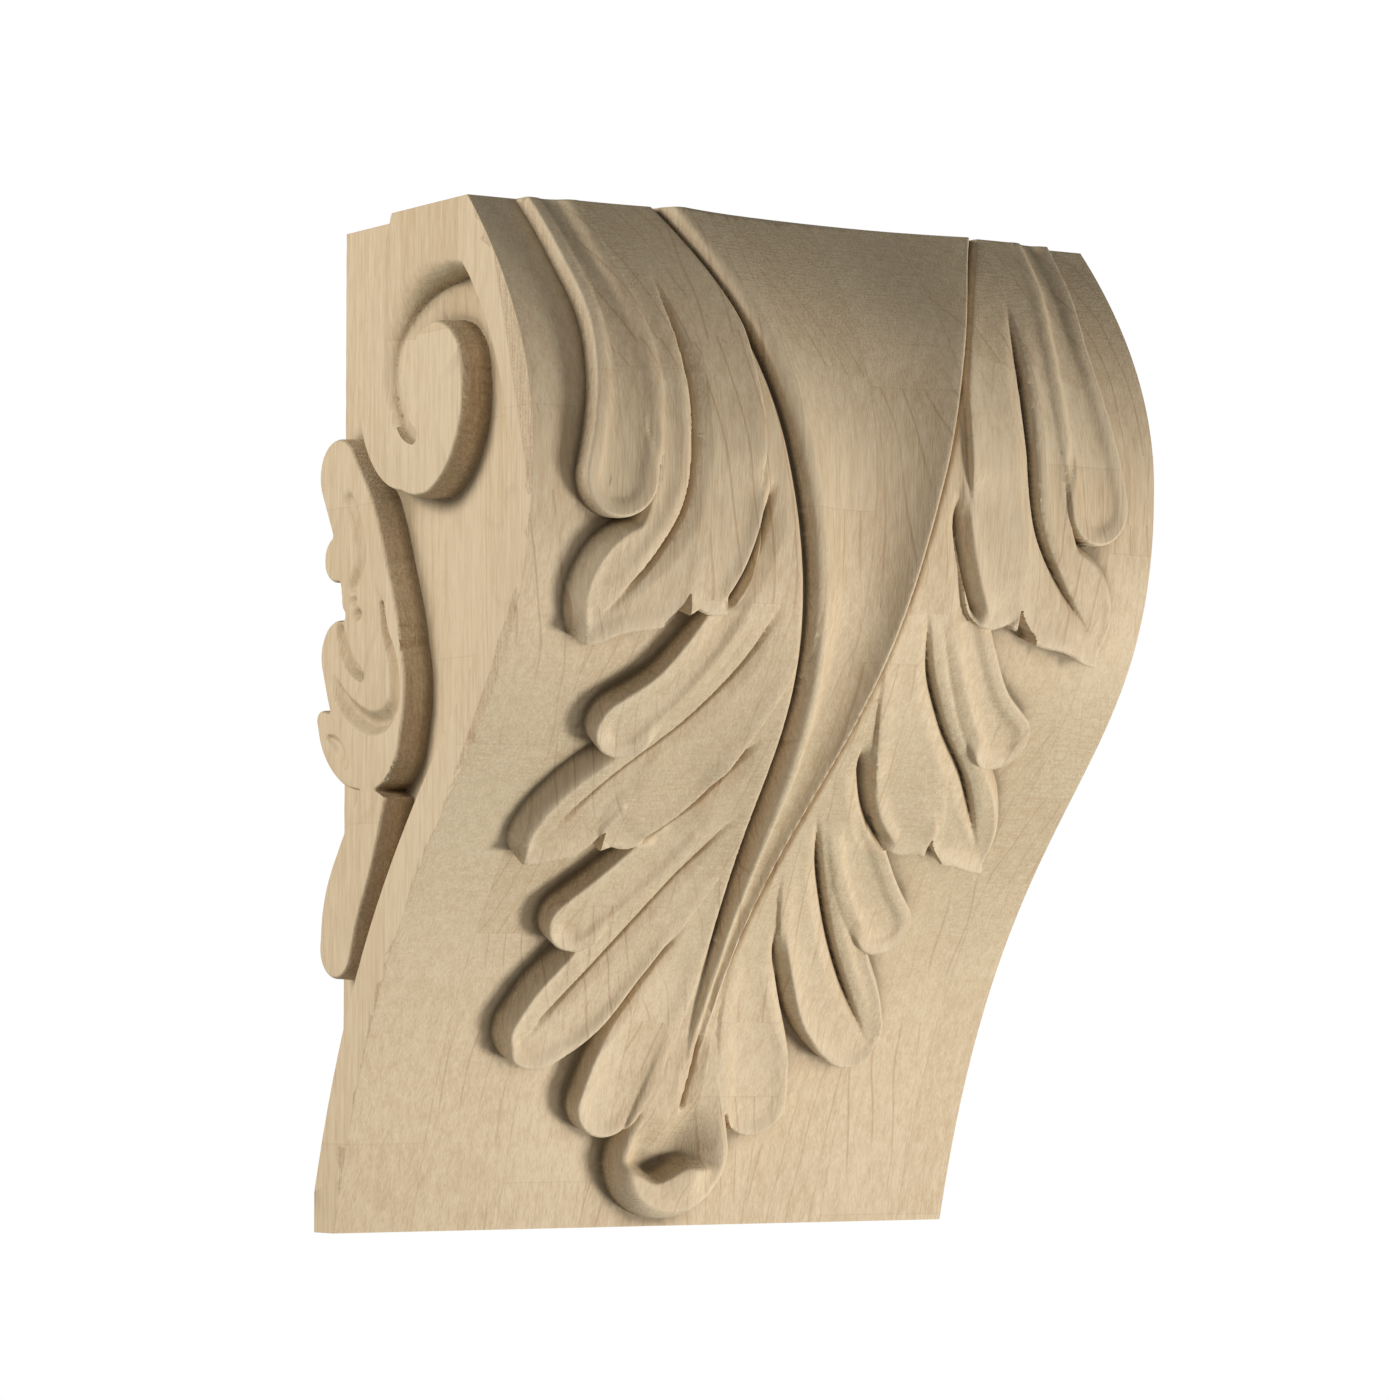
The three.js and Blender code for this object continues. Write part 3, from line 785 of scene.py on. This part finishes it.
    def _leaves(self, relief: Relief) -> None:
        """Lays the two small leaves near the wall and cuts their grooves.

        Args:
            relief: the side's height map.
        """
        for points in self.leaves:
            relief.raise_lobe(Lobe(points, self.recess, self.recess, dish=0.0, wall=1.5, fade=0.005))
        for depth, points in self.valleys:
            m = relief.measure(points)
            bowl = np.clip(m.inside / m.half, 0.0, 1.0)
            relief.height[m.mask] -= depth * smooth(0.0, 1.0, bowl) * smooth(0.0, 0.12, m.share)
        for x, z, size, depth in self.pits:
            relief.height -= depth * hump(relief.across, x, size) * hump(relief.along, z, 0.8 * size)


@dataclass
class CarvedBlock:
    """The corbel itself: one sheet folded round the block's sides and front, carved, and closed flat."""

    cell: float = 0.5
    triangles: int = 192_000
    border: float = 1.0
    crease_angle: float = 62.0
    tool_marks: float = 0.035
    mark_size: Range = (1.31, 1.73)
    mark_sway: Range = (11.0, 9.0)
    near_reach: float = 1.5
    wide_reach: float = 6.0
    near_share: float = 0.6
    wide_share: float = 0.55
    most_shade: float = 4.0

    def __post_init__(self) -> None:
        """Takes the block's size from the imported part."""
        low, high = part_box("corbel")
        self.width = (high.x - low.x) / MM
        self.height = (high.z - low.z) / MM
        self.edge = FrontEdge(self.height)
        self.side = SideCarving(self.edge)
        self.leaf = FrontLeaf(self.edge.length)

    def sheet_size(self) -> tuple[int, int, int]:
        """Counts the folded sheet's cells.

        Returns:
            How many there are along the front edge, across the front and across a side.
        """
        rows = round(self.edge.length / self.cell)
        front = round(self.width / self.cell)
        side = round(self.edge.belly_depth / (1.1 * self.cell))
        return rows, front, side

    def build(self) -> bpy.types.Object:
        """Makes the carved block.

        Returns:
            The finished mesh object.
        """
        rows, front, side = self.sheet_size()
        columns = front + 2 * side
        sheet = bmesh.new()
        bmesh.ops.create_grid(sheet, x_segments=columns, y_segments=rows, size=1.0)
        mesh = bpy.data.meshes.new("carved_block")
        sheet.to_mesh(mesh)
        sheet.free()
        places, marks = self.fold(mesh, rows, front, side)
        mesh.vertices.foreach_set("co", places.astype(np.float32).ravel())
        for name, values in marks.items():
            attribute = mesh.attributes.new(name, "FLOAT", "POINT")
            attribute.data.foreach_set("value", values.astype(np.float32).ravel())
        self.close(mesh)
        piece = bpy.data.objects.new("carved_block", mesh)
        bpy.context.scene.collection.objects.link(piece)
        self.thin(piece)
        return piece

    def fold(self, mesh: bpy.types.Mesh, rows: int, front: int, side: int) -> tuple[Grid, dict]:
        """Works out where each corner of the flat sheet goes.

        Args:
            mesh: the flat sheet, two wide and two high about the origin.
            rows: cells along the front edge.
            front: cells across the front.
            side: cells across each side.

        Returns:
            The corners' places in metres, and named marks on them for the finish.
        """
        flat = np.zeros(len(mesh.vertices) * 3, np.float32)
        mesh.vertices.foreach_get("co", flat)
        flat = flat.reshape(-1, 3)
        columns = front + 2 * side
        column = np.rint((flat[:, 0] + 1.0) / 2.0 * columns).astype(int)
        row = np.rint((flat[:, 1] + 1.0) / 2.0 * rows).astype(int)
        s = np.linspace(0.0, self.edge.length, rows + 1)
        x = np.linspace(-self.width / 2, self.width / 2, front + 1)
        relief = Relief(*np.meshgrid(x, s), self.cell)
        self.leaf.carve(relief)
        border = smooth(0.0, self.border, self.width / 2 - np.abs(relief.across))
        relief.height = (np.maximum(relief.height, 0.0) + self.ripple(relief)) * border
        depth, height = self.edge.place(relief.along, relief.height)
        depth, height = self.trim(depth, height)
        edge_depth, edge_height = self.edge.place(s, np.zeros_like(s))
        share = np.linspace(0.0, 1.0, side + 1)
        inward = share[None, :] * edge_depth[:, None]
        flank = Relief(inward, np.tile(edge_height[:, None], side + 1), self.cell)
        self.side.carve(flank)
        flank.height = np.clip(flank.height + self.ripple(flank), 0.0, self.side.recess)
        flank.height[:, -1] = self.side.recess
        flank_x = self.width / 2 - self.side.recess + flank.height
        across = self.joined(-flank_x, relief.across, flank_x)
        depths = self.joined(flank.across, depth, flank.across)
        heights = self.joined(flank.along, height, flank.along)
        places = np.stack([across, -depths, heights - self.height / 2], axis=-1) * MM
        upward = np.tile(self.edge.upward(s)[:, None], columns + 1)
        front_sign = np.full(relief.height.shape, -1.0)
        front_sign[:, [0, -1]] = 0.0
        flank_sign = np.ones(flank.height.shape)
        # The shade mark drives the finish's painted shade in hollows and painted highlight on ridges
        front_shade = self.shade(relief.height)
        flank_shade = self.shade(flank.height)
        named = {
            "flank": self.joined(flank_sign, front_sign, flank_sign),
            "upward": upward,
            "shade": self.joined(flank_shade, front_shade, flank_shade),
        }
        return places[row, column], {name: values[row, column] for name, values in named.items()}

    def ripple(self, relief: Relief) -> Grid:
        """The slight unevenness that hand tools leave.

        Args:
            relief: the sheet.

        Returns:
            Its height in mm.
        """
        a, b = relief.across, relief.along
        along = np.sin(a / self.mark_size[0] + 1.7 * np.sin(b / self.mark_sway[0]))
        across = np.sin(b / self.mark_size[1] + 1.3 * np.sin(a / self.mark_sway[1]))
        return self.tool_marks * (1.0 + along * across)

    @staticmethod
    def joined(left: Grid, middle: Grid, right: Grid) -> Grid:
        """Joins maps of the left side, the front and the right side into one for the whole sheet."""
        return np.hstack([left[:, :-1], middle, right[:, -2::-1]])

    def shade(self, lifts: Grid) -> Grid:
        """How deep each place lies below its surroundings, as a measure of how little light it gets.

        Args:
            lifts: the sheet's heights.

        Returns:
            The depths in mm.
        """
        near = self.blur(lifts, round(self.near_reach / self.cell)) - lifts
        wide = self.blur(lifts, round(self.wide_reach / self.cell)) - lifts
        return np.clip(self.near_share * near + self.wide_share * wide, -self.most_shade, self.most_shade)

    def trim(self, depth: Grid, height: Grid) -> tuple[Grid, Grid]:
        """Cuts the carving off flat at the top and the foot, column by column.

        Args:
            depth: the front's depths, row by row from the foot.
            height: its heights.

        Returns:
            The depths and heights with what stood past the two planes laid into them.
        """
        for level, order in ((self.height, 1), (0.0, -1)):
            d, h = depth[::order], height[::order]
            past = (h - level) * order > TINY
            for j in np.flatnonzero(past.any(axis=0)):
                first = int(np.argmax(past[:, j]))
                if first == 0:
                    continue
                share = (level - h[first - 1, j]) / (h[first, j] - h[first - 1, j])
                start = d[first - 1, j] + share * (d[first, j] - d[first - 1, j])
                base = self.edge.top_depth if order > 0 else self.edge.foot_depth
                d[first:, j] = np.linspace(start, base, len(d) - first) if len(d) - first > 1 else base
                h[first:, j] = level
        return depth, height

    @staticmethod
    def blur(values: Grid, reach: int) -> Grid:
        """A soft average of a map over a square of cells.

        Args:
            values: the map.
            reach: how many cells it reaches each way.

        Returns:
            The averaged map.
        """
        width = 2 * reach + 1
        out = values
        for _ in range(4):
            total = np.cumsum(np.pad(out, ((reach + 1, reach), (0, 0)), mode="edge"), axis=0)
            out = ((total[width:] - total[:-width]) / width).T
        return out

    def close(self, mesh: bpy.types.Mesh) -> None:
        """Closes the folded sheet with its flat back, top and underside.

        Args:
            mesh: the folded sheet.
        """
        body = bmesh.new()
        body.from_mesh(mesh)
        rim = [edge for edge in body.edges if edge.is_boundary]
        limit = self.height * MM / 2 - CLOSE
        corners = {}
        for vert in {v for edge in rim for v in edge.verts}:
            if abs(vert.co.y) < CLOSE and abs(vert.co.z) > limit:
                corners[(vert.co.x > 0, vert.co.z > 0)] = vert
        back = {up: body.edges.new((corners[(False, up)], corners[(True, up)])) for up in (False, True)}
        loops = [
            [e for e in rim if all(v.co.z > limit for v in e.verts)] + [back[True]],
            [e for e in rim if all(v.co.z < -limit for v in e.verts)] + [back[False]],
            [e for e in rim if all(abs(v.co.y) < CLOSE for v in e.verts)] + [back[True], back[False]],
        ]
        for loop in loops:
            bmesh.ops.contextual_create(body, geom=loop)
        bmesh.ops.recalc_face_normals(body, faces=body.faces)
        bmesh.ops.triangulate(body, faces=body.faces)
        body.to_mesh(mesh)
        body.free()

    def thin(self, piece: bpy.types.Object) -> None:
        """Brings the mesh under its number of triangles, with the small ones left where the carving is.

        Args:
            piece: the closed block.
        """
        full = len(piece.data.polygons)
        thinner = piece.modifiers.new("thin", "DECIMATE")
        thinner.ratio = min(1.0, self.triangles / full)
        thinner.use_collapse_triangulate = True
        graph = bpy.context.evaluated_depsgraph_get()
        finished = bpy.data.meshes.new_from_object(piece.evaluated_get(graph))
        piece.modifiers.clear()
        rough = piece.data
        piece.data = finished
        bpy.data.meshes.remove(rough)
        finished.name = "carved_block"
        finished.shade_smooth()
        finished.set_sharp_from_angle(angle=math.radians(self.crease_angle))
        LOG.info("carved block: %d faces, thinned from %d", len(finished.polygons), full)


def maths(operation: str, flip: bool = False) -> Callable[..., "Wire"]:
    """Makes a method that puts a socket and other values through one Math node.

    Args:
        operation: the node's operation.
        flip: whether the socket comes after the other value.

    Returns:
        The method.
    """

    def apply(wire: "Wire", *others: "Wire | float") -> "Wire":
        """Adds the Math node."""
        values = (*others, wire) if flip else (wire, *others)
        return wire.tree.add("ShaderNodeMath", {"operation": operation}, dict(enumerate(values)))

    return apply


@dataclass(frozen=True)
class Wire:
    """A shader socket that takes part in Python expressions."""

    tree: "Nodes"
    socket: bpy.types.NodeSocket

    __add__ = maths("ADD")
    __radd__ = __add__
    __sub__ = maths("SUBTRACT")
    __rsub__ = maths("SUBTRACT", flip=True)
    __mul__ = maths("MULTIPLY")
    __rmul__ = __mul__
    __truediv__ = maths("DIVIDE")
    __rtruediv__ = maths("DIVIDE", flip=True)
    __pow__ = maths("POWER")
    fract = maths("FRACT")
    floor = maths("FLOOR")
    size = maths("ABSOLUTE")
    most = maths("MAXIMUM")

    def step(self, low: float, high: float) -> "Wire":
        """A smooth step from 0 at low to 1 at high."""
        values = {"Value": self, "From Min": low, "From Max": high}
        return self.tree.add("ShaderNodeMapRange", {"interpolation_type": "SMOOTHSTEP"}, values)


class Nodes:
    """Builds the nodes of a material or of the world from expressions."""

    def __init__(self, owner: "bpy.types.Material | bpy.types.World") -> None:
        """Starts with an empty tree.

        Args:
            owner: the material or the world.
        """
        owner.use_nodes = True
        self.owner = owner
        self.tree = owner.node_tree
        self.tree.nodes.clear()

    def add(
        self, kind: str, settings: dict | None = None, values: dict | None = None, out: int | str = 0
    ) -> Wire:
        """Adds a node.

        Args:
            kind: the node's type.
            settings: its settings, set before its sockets.
            values: numbers, colours or wires by socket name or number.
            out: which output to return.

        Returns:
            The chosen output, or the first input where the node has none.
        """
        node = self.tree.nodes.new(kind)
        for key, value in (settings or {}).items():
            setattr(node, key, value)
        for key, value in (values or {}).items():
            socket = node.inputs[key]
            if isinstance(value, Wire):
                self.tree.links.new(value.socket, socket)
            else:
                socket.default_value = value
        return Wire(self, node.outputs[out] if node.outputs else node.inputs[0])

    def split(self, vector: Wire) -> tuple[Wire, Wire, Wire]:
        """The three parts of a vector."""
        first = self.add("ShaderNodeSeparateXYZ", None, {0: vector})
        return tuple(Wire(self, output) for output in first.socket.node.outputs)

    def mix(self, share: Wire, a: "Wire | Colour", b: Colour) -> Wire:
        """Mixes a share of a second colour into a first."""
        settings = {"data_type": "RGBA", "clamp_factor": True}
        return self.add("ShaderNodeMix", settings, {0: share, 6: a, 7: b}, out=2)

    def noise(self, place: Wire, scale: Triple, detail: float = 2.0, rough: float = 0.5) -> Wire:
        """A noise pattern in the range 0 to 1, with its own scale along each axis.

        Args:
            place: the place it reads.
            scale: how many of its waves fit in a unit, along each axis.
            detail: how many finer layers it has.
            rough: how strong they are.

        Returns:
            The pattern.
        """
        moved = self.add("ShaderNodeMapping", {"vector_type": "POINT"}, {"Vector": place, "Scale": scale})
        values = {"Vector": moved, "Scale": 1.0, "Detail": detail, "Roughness": rough}
        return self.add("ShaderNodeTexNoise", {"noise_dimensions": "3D"}, values)

    def random(self, seed: Wire) -> Wire:
        """A steady random number from 0 to 1 for each value of a seed."""
        return self.add("ShaderNodeTexWhiteNoise", {"noise_dimensions": "1D"}, {"W": seed + 0.5}, out="Value")

    def mark(self, name: str) -> Wire:
        """A named mark that the mesh carries."""
        settings = {"attribute_type": "GEOMETRY", "attribute_name": name}
        return self.add("ShaderNodeAttribute", settings, out="Fac")

    def finish(self, **sockets: "Wire | float | Colour") -> bpy.types.Material:
        """Adds a material's surface shader and output.

        Args:
            sockets: the shader's sockets, with underscores for the spaces in their names.

        Returns:
            The finished material.
        """
        values = {name.replace("_", " "): value for name, value in sockets.items()}
        shader = self.add("ShaderNodeBsdfPrincipled", None, values)
        self.add("ShaderNodeOutputMaterial", None, {"Surface": shader})
        return self.owner


@dataclass(frozen=True)
class Spot:
    """A shaded point: its place in mm, its normal, and whether it is on a side or on a flat, hidden face."""

    mm: Wire
    place: tuple[Wire, Wire, Wire]
    normal: tuple[Wire, Wire, Wire]
    flank: Wire
    flat: Wire


@dataclass(frozen=True)
class MapleFinish:
    """Bare maple, glued up from boards: growth rings, fine grain, flecks, and darker, fuzzy tooled walls.

    A strength is how much of its colour a pattern lays on, and a warmth how far it shifts pale to warm. The
    patterns' scales are waves per mm across, out and up, and a step is where a pattern starts and is full.
    Only bump_height is in metres. shadow is painted shade in hollows, crest a painted highlight on ridges.
    """

    pale: Colour = (0.76, 0.61, 0.41, 1.0)
    warm: Colour = (0.62, 0.46, 0.28, 1.0)
    ring: Colour = (0.42, 0.25, 0.13, 1.0)
    end_grain: Colour = (0.40, 0.35, 0.225, 1.0)
    tooled: Colour = (0.33, 0.20, 0.11, 1.0)
    shadow: Colour = (0.16, 0.115, 0.062, 1.0)
    # crest is the colour of the painted highlight laid on the front's ridges
    crest: Colour = (0.86, 0.72, 0.52, 1.0)
    joint: Colour = (0.36, 0.24, 0.14, 1.0)
    lane: float = 30.0
    lane_offset: float = 5.0
    layer: float = 42.0
    block_length: float = 96.0
    ring_spacing: float = 7.5
    top_margins: Range = (0.2, 0.05)
    sway: float = 24.0
    board_warmth: float = 0.4
    grain_warmth: float = 2.2
    streak_warmth: float = 1.6
    ring_strength: float = 0.5
    fleck_strength: float = 0.22
    seam_strength: float = 0.22
    end_strength: float = 0.5
    hatch_strength: float = 0.3
    wall_strength: float = 0.2
    painted_highlight_strength: float = 0.2
    shadow_strength: float = 0.74
    roughness: float = 0.6
    bump: float = 0.7
    bump_height: float = 0.0004

    def material(self) -> bpy.types.Material:
        """Builds the finish.

        Returns:
            The material.
        """
        n = Nodes(bpy.data.materials.new("bare_maple"))
        p = self._spot(n)
        board, seam = self._boards(n, p)
        tone = n.random(board)
        second = n.random(board + 37.0)
        wall = self._lean(n, p).step(0.35, 0.95) * (1.0 - p.flat)
        end = p.normal[2].size().step(0.3, 0.8)
        grain = n.noise(p.mm, (1.6, 1.6, 0.11), 4.0, 0.6)
        streak = n.noise(p.mm, (0.5, 0.5, 0.018), 3.0)
        cloud = n.noise(p.mm, (0.035, 0.035, 0.035), 3.0)
        fleck = n.noise(p.mm, (1.4, 1.4, 0.3), 1.0).step(0.72, 0.8)
        pores = n.noise(p.mm, (1.1, 1.1, 1.1), 3.0, 0.7)
        hatch = n.noise(p.mm, (0.16, 0.16, 1.5)).step(0.5, 0.62)
        upright = n.noise(p.mm, (1.3, 1.3, 0.05)).step(0.52, 0.64)
        fuzz = n.noise(p.mm, (1.5, 1.5, 1.5), 4.0, 0.65)
        shade = n.mark("shade") * (1.0 - p.flat)
        # Painted highlight: the crest colour laid where the front stands above its surroundings
        painted_highlight = (shade * -1.0).step(0.2, 2.4) * (1.0 - p.flank)
        # Painted shade: the shadow colour laid where places lie below their surroundings
        dim = shade.step(0.1, 2.9)
        faint = second.step(0.3, 0.6) * cloud.step(0.36, 0.56) * (self.ring_strength - p.flank * 0.38)
        brown = self.wall_strength + p.flank * 0.14 + (pores - 0.5) * 1.2 + (grain - 0.5) * 0.8
        layers = [
            (self._rings(n, p, tone, second) * faint, self.ring),
            (fleck * self.fleck_strength * (1.0 - end), self.ring),
            (seam * self.seam_strength, self.joint),
            (end * (self.end_strength + (pores - 0.5) * 1.3), self.end_grain),
            (end * hatch.most(upright) * self.hatch_strength * cloud.step(0.35, 0.6), self.ring),
            (wall * brown, self.tooled),
            # painted highlight on ridges, then painted shade in hollows, both from the shade mark
            (painted_highlight * self.painted_highlight_strength, self.crest),
            (dim * (self.shadow_strength - p.flank * 0.2), self.shadow),
        ]
        warmth = tone * self.board_warmth + (grain - 0.5) * self.grain_warmth
        colour = n.mix(warmth + (streak - 0.5) * self.streak_warmth + 0.2, self.pale, self.warm)
        for share, paint in layers:
            colour = n.mix(share, colour, paint)
        relief = grain * 0.5 + fuzz * (0.25 + wall * 1.2) + pores * end * 0.7 + hatch * end * 0.2
        values = {"Strength": self.bump, "Distance": self.bump_height, "Height": relief}
        bump = n.add("ShaderNodeBump", None, values, out="Normal")
        return n.finish(Base_Color=colour, Roughness=self.roughness, Normal=bump, Specular_IOR_Level=0.25)

    def _spot(self, n: Nodes) -> Spot:
        """Reads where the shaded point lies.

        Args:
            n: the tree's helper.

        Returns:
            The point.
        """
        place = n.add("ShaderNodeTexCoord", out="Object")
        mm = n.add("ShaderNodeVectorMath", {"operation": "SCALE"}, {0: place, "Scale": 1.0 / MM})
        x, y, z = n.split(mm)
        top = CAD_BOX[1].z / MM
        flat = z.size().step(*(top - margin for margin in self.top_margins)).most(y.step(-0.3, -0.1))
        flank = n.mark("flank").step(0.0, 0.02) * (1.0 - flat)
        normal = n.split(n.add("ShaderNodeNewGeometry", out="Normal"))
        return Spot(mm, (x, y, z), normal, flank, flat)

    def _lean(self, n: Nodes, p: Spot) -> Wire:
        """How far a place leans from the sheet it is carved on.

        Args:
            n: the tree's helper.
            p: the point.

        Returns:
            0 on a level surface and 1 on a steep wall.
        """
        nx, ny, nz = p.normal
        upward = n.mark("upward")
        forward = (1.0 - upward * upward) ** 0.5
        on_front = 1.0 - (nz * upward - ny * forward)
        on_flank = 1.0 - nx.size()
        return on_front + (on_flank - on_front) * p.flank

    def _boards(self, n: Nodes, p: Spot) -> tuple[Wire, Wire]:
        """The glued boards: lanes across the front, layers that show on the sides, and lengths.

        Args:
            n: the tree's helper.
            p: the point.

        Returns:
            A number for each board, and a mask of the thin seams between them.
        """
        x, y, z = p.place
        lane = x / self.lane - self.lane_offset / self.lane
        layer = y / self.layer
        column = lane.floor() * 7.0 + layer.floor() * 3.0
        length = z / self.block_length + n.random(column + 11.0)
        board = column + length.floor() * 17.0
        seams = []
        for value, size in ((lane, self.lane), (layer, self.layer), (length, self.block_length)):
            away = ((value.fract() - 0.5).size() - 0.5).size() * size
            seams.append(1.0 - away.step(0.1, 0.35))
        return board, (seams[0] * (1.0 - p.flank)).most(seams[1] * p.flank).most(seams[2] * 0.6)

    def _rings(self, n: Nodes, p: Spot, tone: Wire, second: Wire) -> Wire:
        """Thin, dark growth-ring lines that run at each board's own slant.

        Args:
            n: the tree's helper.
            p: the point.
            tone: a random number for its board.
            second: another.

        Returns:
            1 on the middle of a line and 0 off it.
        """
        x, y, z = p.place
        slant = z * ((second - 0.5) * 0.5)
        sway = n.noise(p.mm, (0.02, 0.02, 0.007)) * self.sway
        across = x + y * (tone - 0.5) * 1.6 + slant + sway + tone * 90.0
        share = (across / self.ring_spacing).fract()
        return share.step(0.84, 0.95) * (1.0 - share.step(0.955, 0.99))


@dataclass
class Studio:
    """The pale floor, the soft lights and the camera."""

    location: Triple = (-0.916354, -1.447736, -0.090372)
    yaw: float = 33.0427
    pitch: float = 3.4386
    lens: float = 139.8
    floor_level: float = -1.6
    floor_size: float = 8.0
    floor_colour: Colour = (0.92, 0.92, 0.91, 1.0)
    lamps: tuple[tuple[str, Triple, float, float], ...] = (
        ("side_light", (-2.0, 0.3, 0.8), 33.0, 0.9),
        ("front_light", (1.5, -1.45, -1.05), 42.0, 0.5),
    )
    lamp_colour: Triple = (1.0, 0.985, 0.96)
    white: Colour = (1.0, 1.0, 1.0, 1.0)
    ambient: float = 0.22

    def camera(self) -> None:
        """Puts the camera where the photograph was taken from."""
        data = bpy.data.cameras.new("camera")
        data.lens = self.lens
        data.clip_start = 0.05
        data.clip_end = 100.0
        camera = bpy.data.objects.new("camera", data)
        camera.location = self.location
        camera.rotation_euler = (math.radians(90 + self.pitch), 0.0, math.radians(-self.yaw))
        bpy.context.scene.collection.objects.link(camera)
        bpy.context.scene.camera = camera

    def floor(self) -> None:
        """A plain pale floor, well below the corbel, which hangs at its wall height."""
        sheet = bmesh.new()
        bmesh.ops.create_grid(sheet, x_segments=2, y_segments=2, size=self.floor_size / 2)
        mesh = bpy.data.meshes.new("floor")
        sheet.to_mesh(mesh)
        sheet.free()
        floor = bpy.data.objects.new("floor", mesh)
        floor.location.z = self.floor_level
        bpy.context.scene.collection.objects.link(floor)
        paint = Nodes(bpy.data.materials.new("floor_white"))
        mesh.materials.append(paint.finish(Base_Color=self.floor_colour, Roughness=0.9))

    def lamp(self, name: str, place: Triple, power: float, size: float) -> None:
        """A soft square light that points at the corbel.

        Args:
            name: its name.
            place: where it hangs.
            power: its power in watts.
            size: its side in metres.
        """
        data = bpy.data.lights.new(name, "AREA")
        data.energy = power
        data.size = size
        data.color = self.lamp_colour
        light = bpy.data.objects.new(name, data)
        light.location = place
        light.rotation_euler = (-Vector(place)).to_track_quat("-Z", "Y").to_euler()
        bpy.context.scene.collection.objects.link(light)

    def light(self) -> None:
        """A light from the left for the side, one from low on the right for the front, a white surround."""
        for lamp in self.lamps:
            self.lamp(*lamp)
        world = bpy.data.worlds.new("surround")
        n = Nodes(world)
        seen = n.add("ShaderNodeBackground", None, {"Color": self.white, "Strength": 1.0})
        soft = n.add("ShaderNodeBackground", None, {"Color": self.white, "Strength": self.ambient})
        ray = n.add("ShaderNodeLightPath", out="Is Camera Ray")
        both = n.add("ShaderNodeMixShader", None, {0: ray, 1: soft, 2: seen})
        n.add("ShaderNodeOutputWorld", None, {"Surface": both})
        bpy.context.scene.world = world
        bpy.context.scene.view_settings.view_transform = "Standard"


def main() -> None:
    """Builds the corbel and its stage, piece by piece."""
    logging.basicConfig(level=logging.INFO, format="%(message)s")
    studio = Studio()
    studio.camera()
    block = CarvedBlock(cell=0.5)
    piece = block.build()
    piece.data.materials.append(MapleFinish().material())
    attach(piece, "root")
    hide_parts("corbel")
    studio.floor()
    studio.light()


if __name__ == "__main__":
    main()
